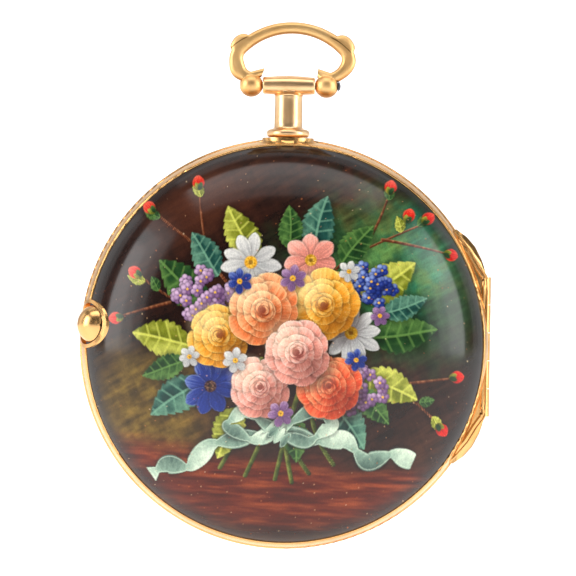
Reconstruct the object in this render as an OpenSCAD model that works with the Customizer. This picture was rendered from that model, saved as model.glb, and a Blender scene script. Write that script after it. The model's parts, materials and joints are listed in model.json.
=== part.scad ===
// Pair-cased verge pocket watch: a hinged outer case with a painted enamel back round an
// inner case with its pendant and bow, and the fusee movement with its verge escapement.
// Bench axes: x to the hinge side (nine), y to twelve, z to the painted back; z = 0 is the
// plane where the outer case splits. hang() turns the bench axes into the hanging watch.

/* [Outer case] */
// Radius of the outer case over its front rim
case_r = 27; // [26.8:0.05:27.3]
// Height of the painted back over the split plane
back_height = 12.5; // [12.3:0.1:13.5]
// Squareness of the back's outline, 2 is an ellipse
back_power = 2.2; // [2.15:0.05:2.3]
// Half length of the case hinge over its knuckles
hinge_half = 9.2; // [8.5:0.1:10]
// Half length of the hinge's wedge-shaped flanges
flange_half = 15.4; // [14.5:0.1:16.5]

/* [Push button] */
// Radius of the domed button that frees the bezel
button_r = 2.62; // [2.3:0.02:2.7]
// Radius of the collar that the button sits in
collar_r = 3.2; // [3.1:0.05:3.4]
// Height of the button's axis over the split plane
button_z = 3.8; // [3.6:0.1:4]

/* [Pendant and bow] */
// Distance of the bow's pin from the centre of the case
pin_y = 33.95; // [33.6:0.05:34.4]
// Radius of the pendant's neck
neck_r = 1.85; // [1.6:0.05:1.95]
// Radius of the bow's top arc, along its middle
bow_arc_r = 9.6; // [9.2:0.1:9.9]

/* [Glass and dial] */
// Height of the domed glass over its seat
glass_rise = 6.1; // [4.5:0.1:6.3]
// Radius of the dial
dial_r = 20.6; // [20.2:0.1:20.9]

/* [Movement] */
// Radius of the balance
balance_r = 7.4; // [6.8:0.1:7.5]
// Turns of the balance spring
spring_turns = 2.5; // [1.5:0.5:3]
// Turns of the groove cut in the fusee
fusee_turns = 6; // [5:1:7]
// Turns of the mainspring in its barrel
mainspring_turns = 6; // [4:1:7]

/* [Hidden] */
$fn = 64;

// The bow and the point where a hook bears in its top
bow_half = 0.77;
bow_mid_y = pin_y - 2;
hang_y = bow_mid_y + bow_arc_r - bow_half;

// Walls of the cases, as outlines with a radius, a height and a squareness
wall_points = 26;
enamel_wall = 0.5;
bedding = 0.02;
split_r = case_r - 0.2;
enamel_edge_r = case_r - 0.95;
shell_in_r = case_r - 1.1;
shell_in_height = back_height - 1.1;
inner_r = 23.2;
inner_height = 11;
inner_power = 2.6;
inner_wall = 0.45;
inner_rim_z = -1.8;

// Hinges: the outer on the split plane, the inner on the inner case's rim
hinge_x = case_r - 0.8;
barrel_r = 0.8;
split_gap = 0.08;
knuckle_gap = 0.08;
hinge_pin_r = 0.35;
running = 0.03;
inner_hinge_x = 23.6;
inner_hinge_half = 4.2;
inner_barrel_r = 0.55;
inner_pin_r = 0.25;
button_angle = -5;
strip_x = 24;

// Levels of the movement, from the dial to the cock
dial_front = -1.4;
dial_back = -0.6;
plate_front = 0.2;
plate_back = 1.0;
top_front = 6.5;
top_back = 7.2;
balance_z = 7.55;
cock_z = 8.2;
cock_top = 8.65;
plate_r = 21.6;
top_r = 18.4;

// The train: teeth, modules and centres
great_teeth = 48;
centre_leaves = 12;
great_module = 0.3;
centre_teeth = 54;
third_leaves = 6;
centre_module = 0.22;
third_teeth = 48;
contrate_leaves = 6;
third_module = 0.2;
contrate_teeth = 48;
contrate_r = 4.4;
escape_leaves = 6;
escape_teeth = 15;
cannon_leaves = 12;
minute_teeth = 36;
minute_leaves = 12;
hour_teeth = 48;
cannon_module = 0.2;
hour_module = cannon_module * (cannon_leaves + minute_teeth) / (minute_leaves + hour_teeth);

function polar(r, a) = [r * cos(a), r * sin(a)];
function mesh_distance(module_size, a, b) = module_size * (a + b) / 2;

fusee_angle = -60;
third_angle = 10;
contrate_angle = 78;
minute_angle = 200;
fusee_at = polar(mesh_distance(great_module, great_teeth, centre_leaves), fusee_angle);
third_at = polar(mesh_distance(centre_module, centre_teeth, third_leaves), third_angle);
contrate_at = third_at
    + polar(mesh_distance(third_module, third_teeth, contrate_leaves), contrate_angle);
minute_at = polar(mesh_distance(cannon_module, cannon_leaves, minute_teeth), minute_angle);
verge_at = [0, 7];
barrel_at = [-9.5, -4.5];
barrel_out_r = 6.6;
escape_z = 3.95;
escape_r = 2.3;
escape_angle = atan2(contrate_at[1] - verge_at[1], contrate_at[0] - verge_at[0]);
escape_run = norm(contrate_at - verge_at);
escape_tips = 0.95;
pillar_angles = [30, 130, 250, 330];
pillar_ring_r = 17;
foot_angles = [60, 180, 300];
foot_ring_r = 18.9;
regulator_at = [-8.6, -4.4];

// Hangs the bench model: its back to the viewer, twelve upwards, the hook's point at the origin
module hang() {
    translate([0, 0, -hang_y]) rotate([90, 0, 0]) children();
}

module at(point, z = 0) {
    translate([point[0], point[1], z]) children();
}

// Turns a shape drawn along z so that it runs along -x at the button
module along_button() {
    rotate([0, 0, button_angle]) translate([0, 0, button_z]) rotate([0, -90, 0]) children();
}

// Outline of a case wall: a superellipse of radius a and height b, from its rim to its crown
function wall_point(a, b, power, t) = [a * pow(cos(t), 2 / power), b * pow(sin(t), 2 / power)];
function wall_curve(a, b, power, from = 0) =
    [for (i = [0:wall_points]) wall_point(a, b, power, from + (90 - from) * i / wall_points)];
function reversed(list) = [for (i = [len(list) - 1:-1:0]) list[i]];
function edge_turn(a, power, r) = acos(pow(r / a, power / 2));

module revolve(points) {
    rotate_extrude($fn = 96) polygon(points);
}

module ring(r_out, r_in, z, height) {
    translate([0, 0, z]) difference() {
        cylinder(r = r_out, h = height);
        translate([0, 0, -1]) cylinder(r = r_in, h = height + 2);
    }
}

module disc(r, z, height) {
    translate([0, 0, z]) cylinder(r = r, h = height);
}

// A bead that runs round the case
module bead(r, z, size) {
    rotate_extrude($fn = 96) translate([r, z]) circle(r = size, $fn = 24);
}

// Knuckles of a hinge barrel along y: those with the wanted parity of n equal ones
module knuckles(x, z, half, count, parity, r, pin_r) {
    pitch = 2 * half / count;
    for (k = [0:count - 1])
        if (k % 2 == parity)
            translate([x, -half + pitch * k + knuckle_gap / 2, z])
                rotate([-90, 0, 0]) difference() {
                    cylinder(r = r, h = pitch - knuckle_gap, $fn = 32);
                    translate([0, 0, -1]) cylinder(r = pin_r, h = pitch + 2, $fn = 24);
                }
}

// Room for the other leaf's knuckles
module knuckle_room(x, z, half, count, parity, r) {
    pitch = 2 * half / count;
    for (k = [0:count - 1])
        if (k % 2 == parity)
            translate([x, -half + pitch * k - knuckle_gap / 2, z])
                rotate([-90, 0, 0]) cylinder(r = r + 0.12, h = pitch + knuckle_gap, $fn = 32);
}

// A plate of the outer hinge from its upper half outline, cut out round the hollow
module hinge_plate(upper, z, height) {
    lower = [for (i = [len(upper) - 1:-1:0]) [upper[i][0], -upper[i][1]]];
    translate([0, 0, z]) linear_extrude(height) difference() {
        polygon(concat([[21, flange_half - 0.6]], upper, lower, [[21, 0.6 - flange_half]]));
        circle(r = shell_in_r);
    }
}

// One flange of the outer hinge: the wedge between the round rim and the straight barrel
module hinge_flange(z, height) {
    hinge_plate([[22.3, flange_half], [23.7, flange_half - 1], [24.8, flange_half - 2.25],
        [25.7, flange_half - 4], [hinge_x - 0.1, flange_half - 5.2],
        [hinge_x + 0.3, hinge_half - 0.6]], z, height);
}

// The raised plate of the shell's flange, which reaches over the knuckles
module hinge_hood() {
    hinge_plate([[21.9, flange_half - 0.1], [22.9, flange_half - 1.05], [24.3, flange_half - 2.7],
        [25.5, flange_half - 4.7], [26.35, hinge_half + 0.3], [26.6, hinge_half - 0.3]],
        barrel_r + 0.18, 0.75);
}

// Cuts a round rim back to the hinge line, so that the open bezel clears it
module hinge_cut(z, height) {
    translate([hinge_x - 0.05, -hinge_half - 0.5, z]) cube([3, 2 * hinge_half + 1, height]);
}

// What the other leaf needs of the shell: room to open, room for its knuckles and the pin's hole
module hinge_room() {
    hinge_cut(-1, 2.3);
    knuckle_room(hinge_x, 0, hinge_half, 5, 1, barrel_r);
    translate([hinge_x, -10, 0]) rotate([-90, 0, 0]) cylinder(r = hinge_pin_r, h = 20);
}

// Half of the notch that the pendant's neck passes, with its boss
notch_r = 2.1;
boss_r = 3.4;
module notch_boss(z_sign) {
    intersection() {
        translate([0, case_r - 2.1, 0]) rotate([-90, 0, 0]) cylinder(r = boss_r, h = 2.15);
        translate([-5, case_r - 4, z_sign > 0 ? 0 : -5 - split_gap]) cube([10, 6, 5]);
    }
}

module notch_room() {
    translate([0, case_r - 5, 0]) rotate([-90, 0, 0]) cylinder(r = notch_r, h = 8);
}

// The shell's solid outer form, which also trims what sits in its wall
module back_form(extra = 0) {
    revolve(concat([[0, 0]], wall_curve(split_r + extra, back_height + extra, back_power)));
}

// Everything of the outer case behind the enamel's edge
module outer_back_shell() {
    edge_t = edge_turn(split_r, back_power, enamel_edge_r);
    rim = [for (i = [0:8]) wall_point(split_r, back_height, back_power, edge_t * i / 8)];
    under = enamel_wall + bedding;
    bed = wall_curve(split_r - under, back_height - under, back_power, edge_t);
    hollow = wall_curve(shell_in_r, shell_in_height, back_power);
    edge_z = wall_point(split_r, back_height, back_power, edge_t)[1];
    color("goldenrod") hang() {
        difference() {
            union() {
                difference() {
                    revolve(concat(rim, bed, reversed(hollow)));
                    hinge_room();
                }
                difference() {
                    bead(split_r - 0.12, 0.5, 0.3);
                    hinge_room();
                }
                bead(enamel_edge_r + 0.06, edge_z - 0.1, 0.2);
                difference() {
                    hinge_flange(0, 1.3);
                    translate([0, 0, -1]) cylinder(r = shell_in_r, h = 3);
                    hinge_room();
                }
                notch_boss(1);
            }
            notch_room();
            along_button() translate([0, 0, 20]) cylinder(r = collar_r, h = 9);
        }
        hinge_hood();
        knuckles(hinge_x, 0, hinge_half, 5, 0, barrel_r, hinge_pin_r);
    }
}

// The painted enamel: a thin shell bedded on the gold back
module enamel_back() {
    edge_t = edge_turn(split_r, back_power, enamel_edge_r - bedding);
    face = wall_curve(split_r, back_height, back_power, edge_t);
    bed = wall_curve(split_r - enamel_wall, back_height - enamel_wall, back_power, edge_t);
    edge_z = face[0][1];
    color("saddlebrown") hang() difference() {
        revolve(concat(face, reversed(bed)));
        bead(enamel_edge_r + 0.06, edge_z - 0.1, 0.2 + bedding);
        along_button() translate([0, 0, 20]) cylinder(r = collar_r + bedding, h = 9);
        translate([0, case_r - 3, 0]) rotate([-90, 0, 0]) cylinder(r = boss_r + bedding, h = 4);
    }
}

// The tube that the button slides in, cut to the dome of the shell
module button_collar() {
    color("gold") hang() difference() {
        intersection() {
            along_button() translate([0, 0, 20]) difference() {
                cylinder(r = collar_r, h = 9);
                translate([0, 0, -1]) cylinder(r = button_r + 0.12, h = 11);
            }
            back_form(0.25);
        }
        revolve(concat([[0, 0]], wall_curve(24.25, 10.95, 2.4)));
    }
}

// The leaf spring of the catch: an arc along the inside of the wall, with its screw
module latch_spring() {
    color("slategray") hang() {
        intersection() {
            ring(24.45, 24.15, 2.6, 1.3);
            linear_extrude(10) polygon([[0, 0], polar(40, 183.2), polar(40, 228)]);
        }
        rotate([0, 0, 224]) translate([25.3, 0, 3.25]) rotate([0, -90, 0]) cylinder(r = 0.45, h = 1.4);
    }
}

module outer_hinge_pin() {
    color("silver") hang() translate([hinge_x, -hinge_half - 0.1, 0])
        rotate([-90, 0, 0]) cylinder(r = hinge_pin_r, h = 2 * hinge_half + 0.2);
}

// The ring that opens: a convex moulding with an inner lip, its flange, knuckles and catch
module outer_bezel() {
    moulding = [[25.55, -split_gap], [split_r, -split_gap], [case_r, -0.55], [case_r - 0.05, -1.2],
        [26.6, -2.1], [25.9, -2.9], [24.9, -3.65], [23.7, -4.25], [22.5, -4.65], [21.7, -4.75],
        [21.4, -4.6], [21.4, -4.4], [22.3, -4.32], [23.3, -4.05], [24.3, -3.4], [25.1, -2.4],
        [25.45, -1.3]];
    color("gold") hang() {
        difference() {
            union() {
                revolve(moulding);
                hinge_flange(-1.3 - split_gap, 1.3);
                notch_boss(-1);
            }
            translate([0, 0, -1.6]) cylinder(r = 25.5, h = 2);
            notch_room();
            hinge_cut(-4, 5);
            knuckle_room(hinge_x, 0, hinge_half, 5, 0, barrel_r);
            translate([hinge_x, -10, 0])
                rotate([-90, 0, 0]) cylinder(r = hinge_pin_r + running, h = 20);
        }
        knuckles(hinge_x, 0, hinge_half, 5, 1, barrel_r, hinge_pin_r + running);
        rotate([0, 0, button_angle]) translate([-25.7, -1.2, -1.15]) cube([1.25, 2.4, 0.6]);
    }
}

// The domed button on the free end of the spring strip, with the catch that holds the bezel
module push_button() {
    dome_at = 24.75;
    color("gold") hang() {
        along_button() {
            intersection() {
                translate([0, 0, dome_at]) sphere(r = button_r);
                translate([0, 0, strip_x + 0.2]) cylinder(r = 4, h = 6);
            }
            translate([0, 0, strip_x]) cylinder(r = button_r, h = dome_at - strip_x);
        }
        rotate([0, 0, button_angle]) {
            translate([-strip_x, -1.1, -0.3]) cube([0.3, 2.2, button_z + 1.4]);
            translate([-strip_x - 0.28, -0.8, -0.3]) cube([0.3, 1.6, 0.5]);
        }
    }
}

// The tab that carries the inner hinge's knuckles, let half into the round wall
module inner_tab(z, height) {
    translate([0, 0, z]) difference() {
        translate([22, -inner_hinge_half, 0])
            cube([inner_hinge_x - 22, 2 * inner_hinge_half, height]);
        translate([0, 0, -1]) cylinder(r = inner_r - 0.2, h = height + 2);
    }
}

// The inner case: a plain bowl with a straight rim, hinge tabs and the winding hole
module inner_case_bowl() {
    outside = wall_curve(inner_r, inner_height, inner_power);
    inside = wall_curve(inner_r - inner_wall, inner_height - inner_wall, inner_power);
    color("darkgoldenrod") hang() {
        difference() {
            union() {
                revolve(concat([[inner_r - inner_wall, inner_rim_z], [inner_r, inner_rim_z]],
                    outside, reversed(inside)));
                inner_tab(inner_rim_z, 0.8);
            }
            knuckle_room(inner_hinge_x, inner_rim_z, inner_hinge_half, 3, 1, inner_barrel_r);
            translate([inner_hinge_x, -6, inner_rim_z])
                rotate([-90, 0, 0]) cylinder(r = inner_pin_r, h = 12);
            at(fusee_at, 7) cylinder(r = 1.5, h = 5);
            translate([0, inner_r - 3, 0]) rotate([-90, 0, 0]) cylinder(r = 1.2, h = 5);
        }
        at(fusee_at, 9.6) ring(1.75, 1.35, 0, 0.75);
        knuckles(inner_hinge_x, inner_rim_z, inner_hinge_half, 3, 0, inner_barrel_r, inner_pin_r);
    }
}

// The pendant: its foot in the inner case, neck, collar and the drilled cross head
module pendant() {
    head_half = 3.42;
    bore_r = 0.49;
    head = [[0, -head_half], [1.02, -head_half], [1.12, -head_half + 0.15], [1.24, -1.6],
        [1.32, 0], [1.24, 1.6], [1.12, head_half - 0.15], [1.02, head_half], [0, head_half]];
    stem = [[0, inner_r - 0.6], [1.2, inner_r - 0.6], [1.2, inner_r - 0.1], [neck_r, inner_r + 0.2],
        [neck_r, 27.15], [2.55, 27.15], [2.76, 27.32], [2.83, 27.62], [2.76, 27.95], [2.5, 28.15],
        [2.05, 28.25], [neck_r, 28.45], [neck_r - 0.05, pin_y - 1.7], [neck_r, pin_y - 1.25],
        [1.2, pin_y - 0.9], [0, pin_y - 0.6]];
    color("gold") hang() difference() {
        union() {
            rotate([-90, 0, 0]) revolve(stem);
            translate([0, pin_y, 0]) rotate([0, 90, 0]) revolve(head);
        }
        translate([-5, pin_y, 0]) rotate([0, 90, 0]) cylinder(r = bore_r, h = 10);
    }
}

// The bow's middle line: a wide top arc, tight shoulders and arcs in to the balls
shoulder_turn = 46;
shoulder_r = 1.76;
lower_r = 2.4;
shoulder_x = (bow_arc_r - shoulder_r) * sin(shoulder_turn);
shoulder_y = bow_mid_y + (bow_arc_r - shoulder_r) * cos(shoulder_turn);
lower_x = shoulder_x + shoulder_r - lower_r;

function side(a) = a < 0 ? -1 : 1;
function run_in(a) = max(0, abs(a) - 172) / 18;
function bow_middle(a) =
    abs(a) <= shoulder_turn ? [bow_arc_r * sin(a), bow_mid_y + bow_arc_r * cos(a)]
    : abs(a) <= 90 ? [side(a) * shoulder_x + shoulder_r * sin(a), shoulder_y + shoulder_r * cos(a)]
    : abs(a) <= 172 ? [side(a) * lower_x + lower_r * sin(a), shoulder_y + lower_r * cos(a)]
    : [side(a) * (lower_x + lower_r * sin(172) - 1.74 * run_in(a)),
        shoulder_y + lower_r * cos(172) + 0.62 * run_in(a)];
// How far the worn bow leans to the hinge side at a height over its pin
function lean(y) = let (t = min(1, max(0, (y - pin_y - 0.6) / 2.6))) bow_lean * t * t * (3 - 2 * t);
// Half width of the bar: slimmest at the top and where it runs in to the balls
function bow_half_width(a) = bow_half + 0.2 * pow(sin(min(abs(a), 120) * 0.75), 2)
    - 0.3 * max(0, min(abs(a), 172) - 120) / 60 - 0.12 * run_in(a);
// The leaf that stands out at each shoulder, by the length along the bar
function along(a) = (min(abs(a), shoulder_turn) * bow_arc_r
    + max(0, abs(a) - shoulder_turn) * shoulder_r) * PI / 180;
function leaf(a) = abs(a) > 90 ? 0 : 0.8 * sqrt(max(0, 1 - pow((along(a) - 7.05) / 1.2, 2)));
function flatter(v) = sign(v) * pow(abs(v), 0.72);
bow_thick = 0.8;
bow_lean = 0.42;
bow_sides = 16;
half_turns = concat([for (i = [0:9]) 3.8 * i], [for (i = [1:9]) 34.2 + 1.3 * i],
    [for (i = [1:7]) 45.9 + 6.5 * i], [for (i = [1:13]) 91.4 + 6.2 * i], [180, 190]);
bow_turns = concat([for (a = reversed(half_turns)) -a], [for (i = [1:len(half_turns) - 1])
    half_turns[i]]);

module bow_band() {
    rings = [for (a = bow_turns) let (m = bow_middle(a), w = bow_half_width(a), o = leaf(a),
        d = side(a) * min(abs(a), 172))
        [for (j = [0:bow_sides - 1]) let (b = 360 * j / bow_sides,
            c = (w + max(0, cos(b)) * o) * flatter(cos(b)), y = m[1] + c * cos(d))
            [m[0] + c * sin(d) + lean(y), y, (bow_thick - 0.3 * run_in(a)) * flatter(sin(b))]]];
    steps = len(bow_turns) - 1;
    last = steps * bow_sides;
    mids = [for (a = [bow_turns[0], bow_turns[steps]]) let (m = bow_middle(a))
        [m[0] + lean(m[1]), m[1], 0]];
    sides = [for (i = [0:steps - 1], j = [0:bow_sides - 1]) let (k = (j + 1) % bow_sides,
        p = i * bow_sides, q = p + bow_sides) each [[p + j, q + k, p + k], [p + j, q + j, q + k]]];
    n = last + bow_sides;
    caps = [for (j = [0:bow_sides - 1]) let (k = (j + 1) % bow_sides)
        each [[n, j, k], [n + 1, last + k, last + j]]];
    polyhedron(concat([for (one = rings) each one], mids), concat(sides, caps));
}

// A ball end of the bow, turned along x and flat towards the pendant
ball_x = 4.95;
ball_r = 1.55;
ball_flat = 3.5 - ball_x;
module bow_ball() {
    section = [for (i = [0:12]) let (h = ball_flat + (ball_r - 0.03 - ball_flat) * (1 - cos(15 * i)) / 2)
        [sqrt(ball_r * ball_r - h * h), h]];
    translate([ball_x, pin_y, 0]) rotate([0, 90, 0]) rotate_extrude($fn = 48)
        polygon(concat([[0, ball_flat]], section, [[0, ball_r - 0.03]]));
}

// The stirrup bow with its shoulder leaves and drilled ball ends
module bow() {
    color("gold") hang() difference() {
        union() {
            bow_band();
            for (s = [0, 1]) mirror([s, 0, 0]) bow_ball();
        }
        translate([-8, pin_y, 0]) rotate([0, 90, 0]) cylinder(r = 0.45, h = 16);
    }
}

// The steel screw that joins the bow to the pendant
module bow_pin() {
    color("dimgray") hang() translate([0, pin_y, 0]) rotate([0, 90, 0]) {
        translate([0, 0, -6.2]) cylinder(r = 0.45, h = 12.7);
        intersection() {
            translate([0, 0, 5.75]) sphere(r = 1.05, $fn = 32);
            translate([0, 0, 6.5]) cylinder(r = 2, h = 1);
        }
    }
}

module inner_hinge_pin() {
    color("silver") hang() translate([inner_hinge_x, -inner_hinge_half, inner_rim_z])
        rotate([-90, 0, 0]) cylinder(r = inner_pin_r, h = 2 * inner_hinge_half);
}

glass_seat_r = 20.3;
glass_seat_z = -3.2;

// The glass's ring: a rounded moulding with the groove that holds the glass
module inner_bezel() {
    gap = 0.06;
    moulding = [[19.9, inner_rim_z - 0.5], [21.9, inner_rim_z - 0.5], [22.6, inner_rim_z - gap],
        [inner_r, inner_rim_z - gap], [inner_r, -2.4], [22.75, -3.3], [22, -3.75], [21.2, -4],
        [20.5, -4.1], [20.05, -4], [19.9, -3.75], [glass_seat_r, -3.6],
        [glass_seat_r + 0.1, glass_seat_z + 0.1], [19.9, glass_seat_z + 0.25]];
    color("gold") hang() {
        difference() {
            union() {
                revolve(moulding);
                inner_tab(inner_rim_z - 0.8, 0.74);
            }
            knuckle_room(inner_hinge_x, inner_rim_z, inner_hinge_half, 3, 0, inner_barrel_r);
            translate([inner_hinge_x, -6, inner_rim_z])
                rotate([-90, 0, 0]) cylinder(r = inner_pin_r + running, h = 12);
        }
        knuckles(inner_hinge_x, inner_rim_z, inner_hinge_half, 3, 1, inner_barrel_r,
            inner_pin_r + running);
    }
}

// The high domed glass: a spherical shell with a ground flat on its crown
module watch_glass() {
    wall = 0.75;
    seat = glass_seat_r - 0.1;
    dome_r = (seat * seat + glass_rise * glass_rise) / (2 * glass_rise);
    centre = glass_seat_z - glass_rise + dome_r;
    color([0.85, 0.92, 0.95, 0.35]) hang() difference() {
        intersection() {
            translate([0, 0, centre]) sphere(r = dome_r, $fn = 128);
            translate([0, 0, glass_seat_z - glass_rise + 0.12]) cylinder(r = seat, h = 20);
            translate([0, 0, -20]) cylinder(r = 30, h = 20 + glass_seat_z);
        }
        translate([0, 0, centre]) sphere(r = dome_r - wall, $fn = 128);
    }
}

// The enamelled dial, faintly domed towards the glass, with the feet that pin it to the plate
module dial() {
    sag = 0.35;
    bore = 1.3;
    face = [for (i = [0:10]) let (r = bore + (dial_r - bore) * i / 10)
        [r, dial_front + sag * pow(r / dial_r, 2)]];
    color("ivory") hang() {
        revolve(concat(face, [[dial_r, dial_back], [bore, dial_back]]));
        for (a = foot_angles) at(polar(foot_ring_r, a), dial_back - 0.1)
            cylinder(r = 0.4, h = plate_back - dial_back + 0.7, $fn = 32);
    }
}

module dial_edge() {
    color("goldenrod") hang()
        ring(dial_r + 0.3, dial_r - 0.6, dial_back, plate_front - dial_back);
}

// The joint at twelve that lets the movement swing out of its case
module movement_hinge() {
    color("goldenrod") hang() {
        translate([-2.5, 22.05, -0.35]) rotate([0, 90, 0]) cylinder(r = 0.5, h = 5, $fn = 32);
        translate([-2.4, 21.05, -0.35]) cube([4.8, 0.9, 0.55]);
    }
}

// The bolt at six with its thumb slide
module movement_latch() {
    color("slategray") hang() {
        translate([-0.8, -22.6, -0.3]) cube([1.6, 1.65, 0.5]);
        at([0, -21.9], -0.75) cylinder(r = 0.5, h = 0.45, $fn = 32);
    }
}

// A wheel's tooth: radial flanks below the pitch circle and a rounded point above it
function tooth(pitch_r, module_size, share, add, ded, a) = let (half = 90 * share / (pitch_r / module_size))
    [polar(pitch_r - ded * module_size, a - half * 2), polar(pitch_r, a - half * 2),
    polar(pitch_r + 0.55 * add * module_size, a - half * 1.45),
    polar(pitch_r + add * module_size, a - half * 0.5),
    polar(pitch_r + add * module_size, a + half * 0.5),
    polar(pitch_r + 0.55 * add * module_size, a + half * 1.45),
    polar(pitch_r, a + half * 2), polar(pitch_r - ded * module_size, a + half * 2)];

module teeth(count, module_size, turn, share, add, ded) {
    pitch_r = count * module_size / 2;
    polygon([for (i = [0:count - 1])
        each tooth(pitch_r, module_size, share, add, ded, turn + 360 * i / count)]);
}

// A crossed-out wheel: toothed rim, spokes and hub. turn is the angle of one tooth
module wheel(count, module_size, turn, z, thick, hub_r, arms, bore_r) {
    root_r = count * module_size / 2 - 1.3 * module_size;
    rim_in = root_r - 0.75;
    translate([0, 0, z]) linear_extrude(thick) difference() {
        teeth(count, module_size, turn, 0.34, 0.75, 1.3);
        difference() {
            circle(r = rim_in);
            circle(r = hub_r);
            for (i = [0:arms - 1])
                rotate(turn + 360 * i / arms) translate([0, -0.35]) square([rim_in + 0.2, 0.7]);
        }
        circle(r = bore_r);
    }
}

// A pinion's leaves. turn is the angle of the gap that a wheel's tooth enters
module leaves(count, module_size, turn, z, thick, bore_r = 0) {
    translate([0, 0, z]) linear_extrude(thick) difference() {
        teeth(count, module_size, turn + 180 / count, 0.26, 0.45, 1.45);
        if (bore_r > 0) circle(r = bore_r);
    }
}

// An arbor with a pivot at each end
pivot_r = 0.28;
module arbor(z0, z1, r, pivot = pivot_r) {
    disc(pivot, z0, z1 - z0);
    disc(r, z0 + 0.85, z1 - z0 - 1.65);
}

module train_holes(z, height) {
    pivots = [third_at, contrate_at];
    for (p = pivots) at(p, z) cylinder(r = pivot_r + 0.04, h = height, $fn = 32);
    at(fusee_at, z) cylinder(r = 0.84, h = height);
    at(barrel_at, z) cylinder(r = 0.84, h = height);
}

module pillar_plate() {
    color("goldenrod") hang() difference() {
        union() {
            disc(plate_r, plate_front, plate_back - plate_front);
            at(minute_at, dial_back + 0.1) cylinder(r = 0.3, h = 0.8, $fn = 32);
        }
        train_holes(plate_front - 1, 3);
        translate([0, 0, plate_front - 1]) cylinder(r = 0.64, h = 3);
        for (a = pillar_angles)
            at(polar(pillar_ring_r, a), plate_front - 1) cylinder(r = 0.5, h = 3, $fn = 32);
        for (a = foot_angles)
            at(polar(foot_ring_r, a), plate_front - 1) cylinder(r = 0.4, h = 3, $fn = 32);
    }
}

// The turned baluster pillars, riveted below and pinned above
module pillars() {
    profile = [[0, plate_front], [0.5, plate_front], [0.5, plate_back], [1.15, plate_back],
        [1.15, 1.35], [0.8, 1.5], [0.62, 1.9], [0.7, 2.5], [0.98, 3.2], [1.1, 3.75], [0.98, 4.3],
        [0.7, 5], [0.62, 5.6], [0.8, 6], [1.15, 6.15], [1.15, top_front], [0.5, top_front],
        [0.5, 8.1], [0, 8.1]];
    color("goldenrod") hang() for (a = pillar_angles)
        at(polar(pillar_ring_r, a)) rotate([0, 0, a - 90]) difference() {
            rotate_extrude($fn = 32) polygon([for (p = profile) [p[0], min(p[1], 7.75)]]);
            translate([-2, 0, 7.42]) rotate([0, 90, 0]) cylinder(r = 0.16, h = 4, $fn = 16);
        }
}

module pillar_pins() {
    color("silver") hang() for (a = pillar_angles)
        at(polar(pillar_ring_r, a), 7.42) rotate([0, 0, a - 90]) translate([-1.1, 0, 0])
            rotate([0, 90, 0]) cylinder(r = 0.16, h = 2.2, $fn = 16);
}

module top_plate() {
    color("goldenrod") hang() difference() {
        disc(top_r, top_front, top_back - top_front);
        train_holes(top_front - 1, 3);
        translate([0, 0, top_front - 1]) cylinder(r = 0.4, h = 3);
        at(verge_at, top_front - 1) cylinder(r = 1.1, h = 3);
        for (a = pillar_angles)
            at(polar(pillar_ring_r, a), top_front - 1) cylinder(r = 0.5, h = 3, $fn = 32);
    }
}

// The minute hand points at ten past ten's minutes, a beetle-and-poker pair with the hour hand
minute_turn = 30;
hour_turn = 145;
module minute_hand() {
    color("darkgoldenrod") hang() rotate([0, 0, minute_turn]) translate([0, 0, -2.85]) difference() {
        union() {
            cylinder(r = 0.95, h = 0.22);
            linear_extrude(0.22) polygon([[0.6, 0.42], [9.7, 0.3], [9.7, -0.3], [0.6, -0.42]]);
            translate([10.2, 0, 0]) cylinder(r = 0.8, h = 0.22);
            linear_extrude(0.22) polygon([[10.7, 0.36], [18.2, 0.07], [18.2, -0.07], [10.7, -0.36]]);
            linear_extrude(0.22) polygon([[-0.6, 0.3], [-3.6, 0.55], [-3.6, -0.55], [-0.6, -0.3]]);
        }
        translate([10.2, 0, -1]) cylinder(r = 0.38, h = 3);
        translate([0, 0, -1]) cylinder(r = 0.5, h = 3);
    }
}

module hour_hand() {
    color("darkgoldenrod") hang() rotate([0, 0, hour_turn]) translate([0, 0, -2.3]) difference() {
        union() {
            cylinder(r = 1.45, h = 0.22);
            linear_extrude(0.22) polygon([[1.1, 0.42], [7.4, 0.34], [7.4, -0.34], [1.1, -0.42]]);
            for (s = [-1, 1]) translate([8.1, s * 0.9, 0]) cylinder(r = 1.0, h = 0.22);
            translate([9.3, 0, 0]) cylinder(r = 0.95, h = 0.22);
            linear_extrude(0.22) polygon([[9.9, 0.5], [12.6, 0.08], [12.6, -0.08], [9.9, -0.5]]);
        }
        for (s = [-1, 1]) translate([8.1, s * 1.0, -1]) cylinder(r = 0.5, h = 3);
        translate([9.3, 0, -1]) cylinder(r = 0.45, h = 3);
        translate([0, 0, -1]) cylinder(r = 1.02, h = 3);
    }
}

// The cannon pinion drives the minute wheel and carries the minute hand
module cannon_pinion() {
    color("slategray") hang() difference() {
        union() {
            disc(0.62, -2.45, 2.2);
            disc(0.5, -2.95, 0.6);
            leaves(cannon_leaves, cannon_module, minute_angle, -0.14, 0.3);
            disc(0.62, -0.3, 0.46);
        }
        translate([0, 0, -4]) cylinder(r = 0.33, h = 5, $fn = 32);
    }
}

module centre_wheel() {
    color("gold") hang()
        wheel(centre_teeth, centre_module, third_angle, 1.35, 0.35, 1, 4, 0.6);
}

module centre_pinion() {
    color("slategray") hang() {
        disc(0.3, -3.05, 4.2);
        disc(0.6, 0.22, 1.7);
        leaves(centre_leaves, great_module, fusee_angle, 1.9, 0.9);
        disc(0.6, 2.75, 3.65);
        disc(0.36, 6.3, 0.85);
    }
}

module minute_wheel() {
    color("gold") hang() at(minute_at) wheel(minute_teeth, cannon_module,
        minute_angle + 180, -0.1, 0.22, 0.9, 3, 0.34);
}

module minute_pinion() {
    color("slategray") hang() at(minute_at)
        leaves(minute_leaves, hour_module, minute_angle + 180, -0.5, 0.4, 0.34);
}

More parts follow.
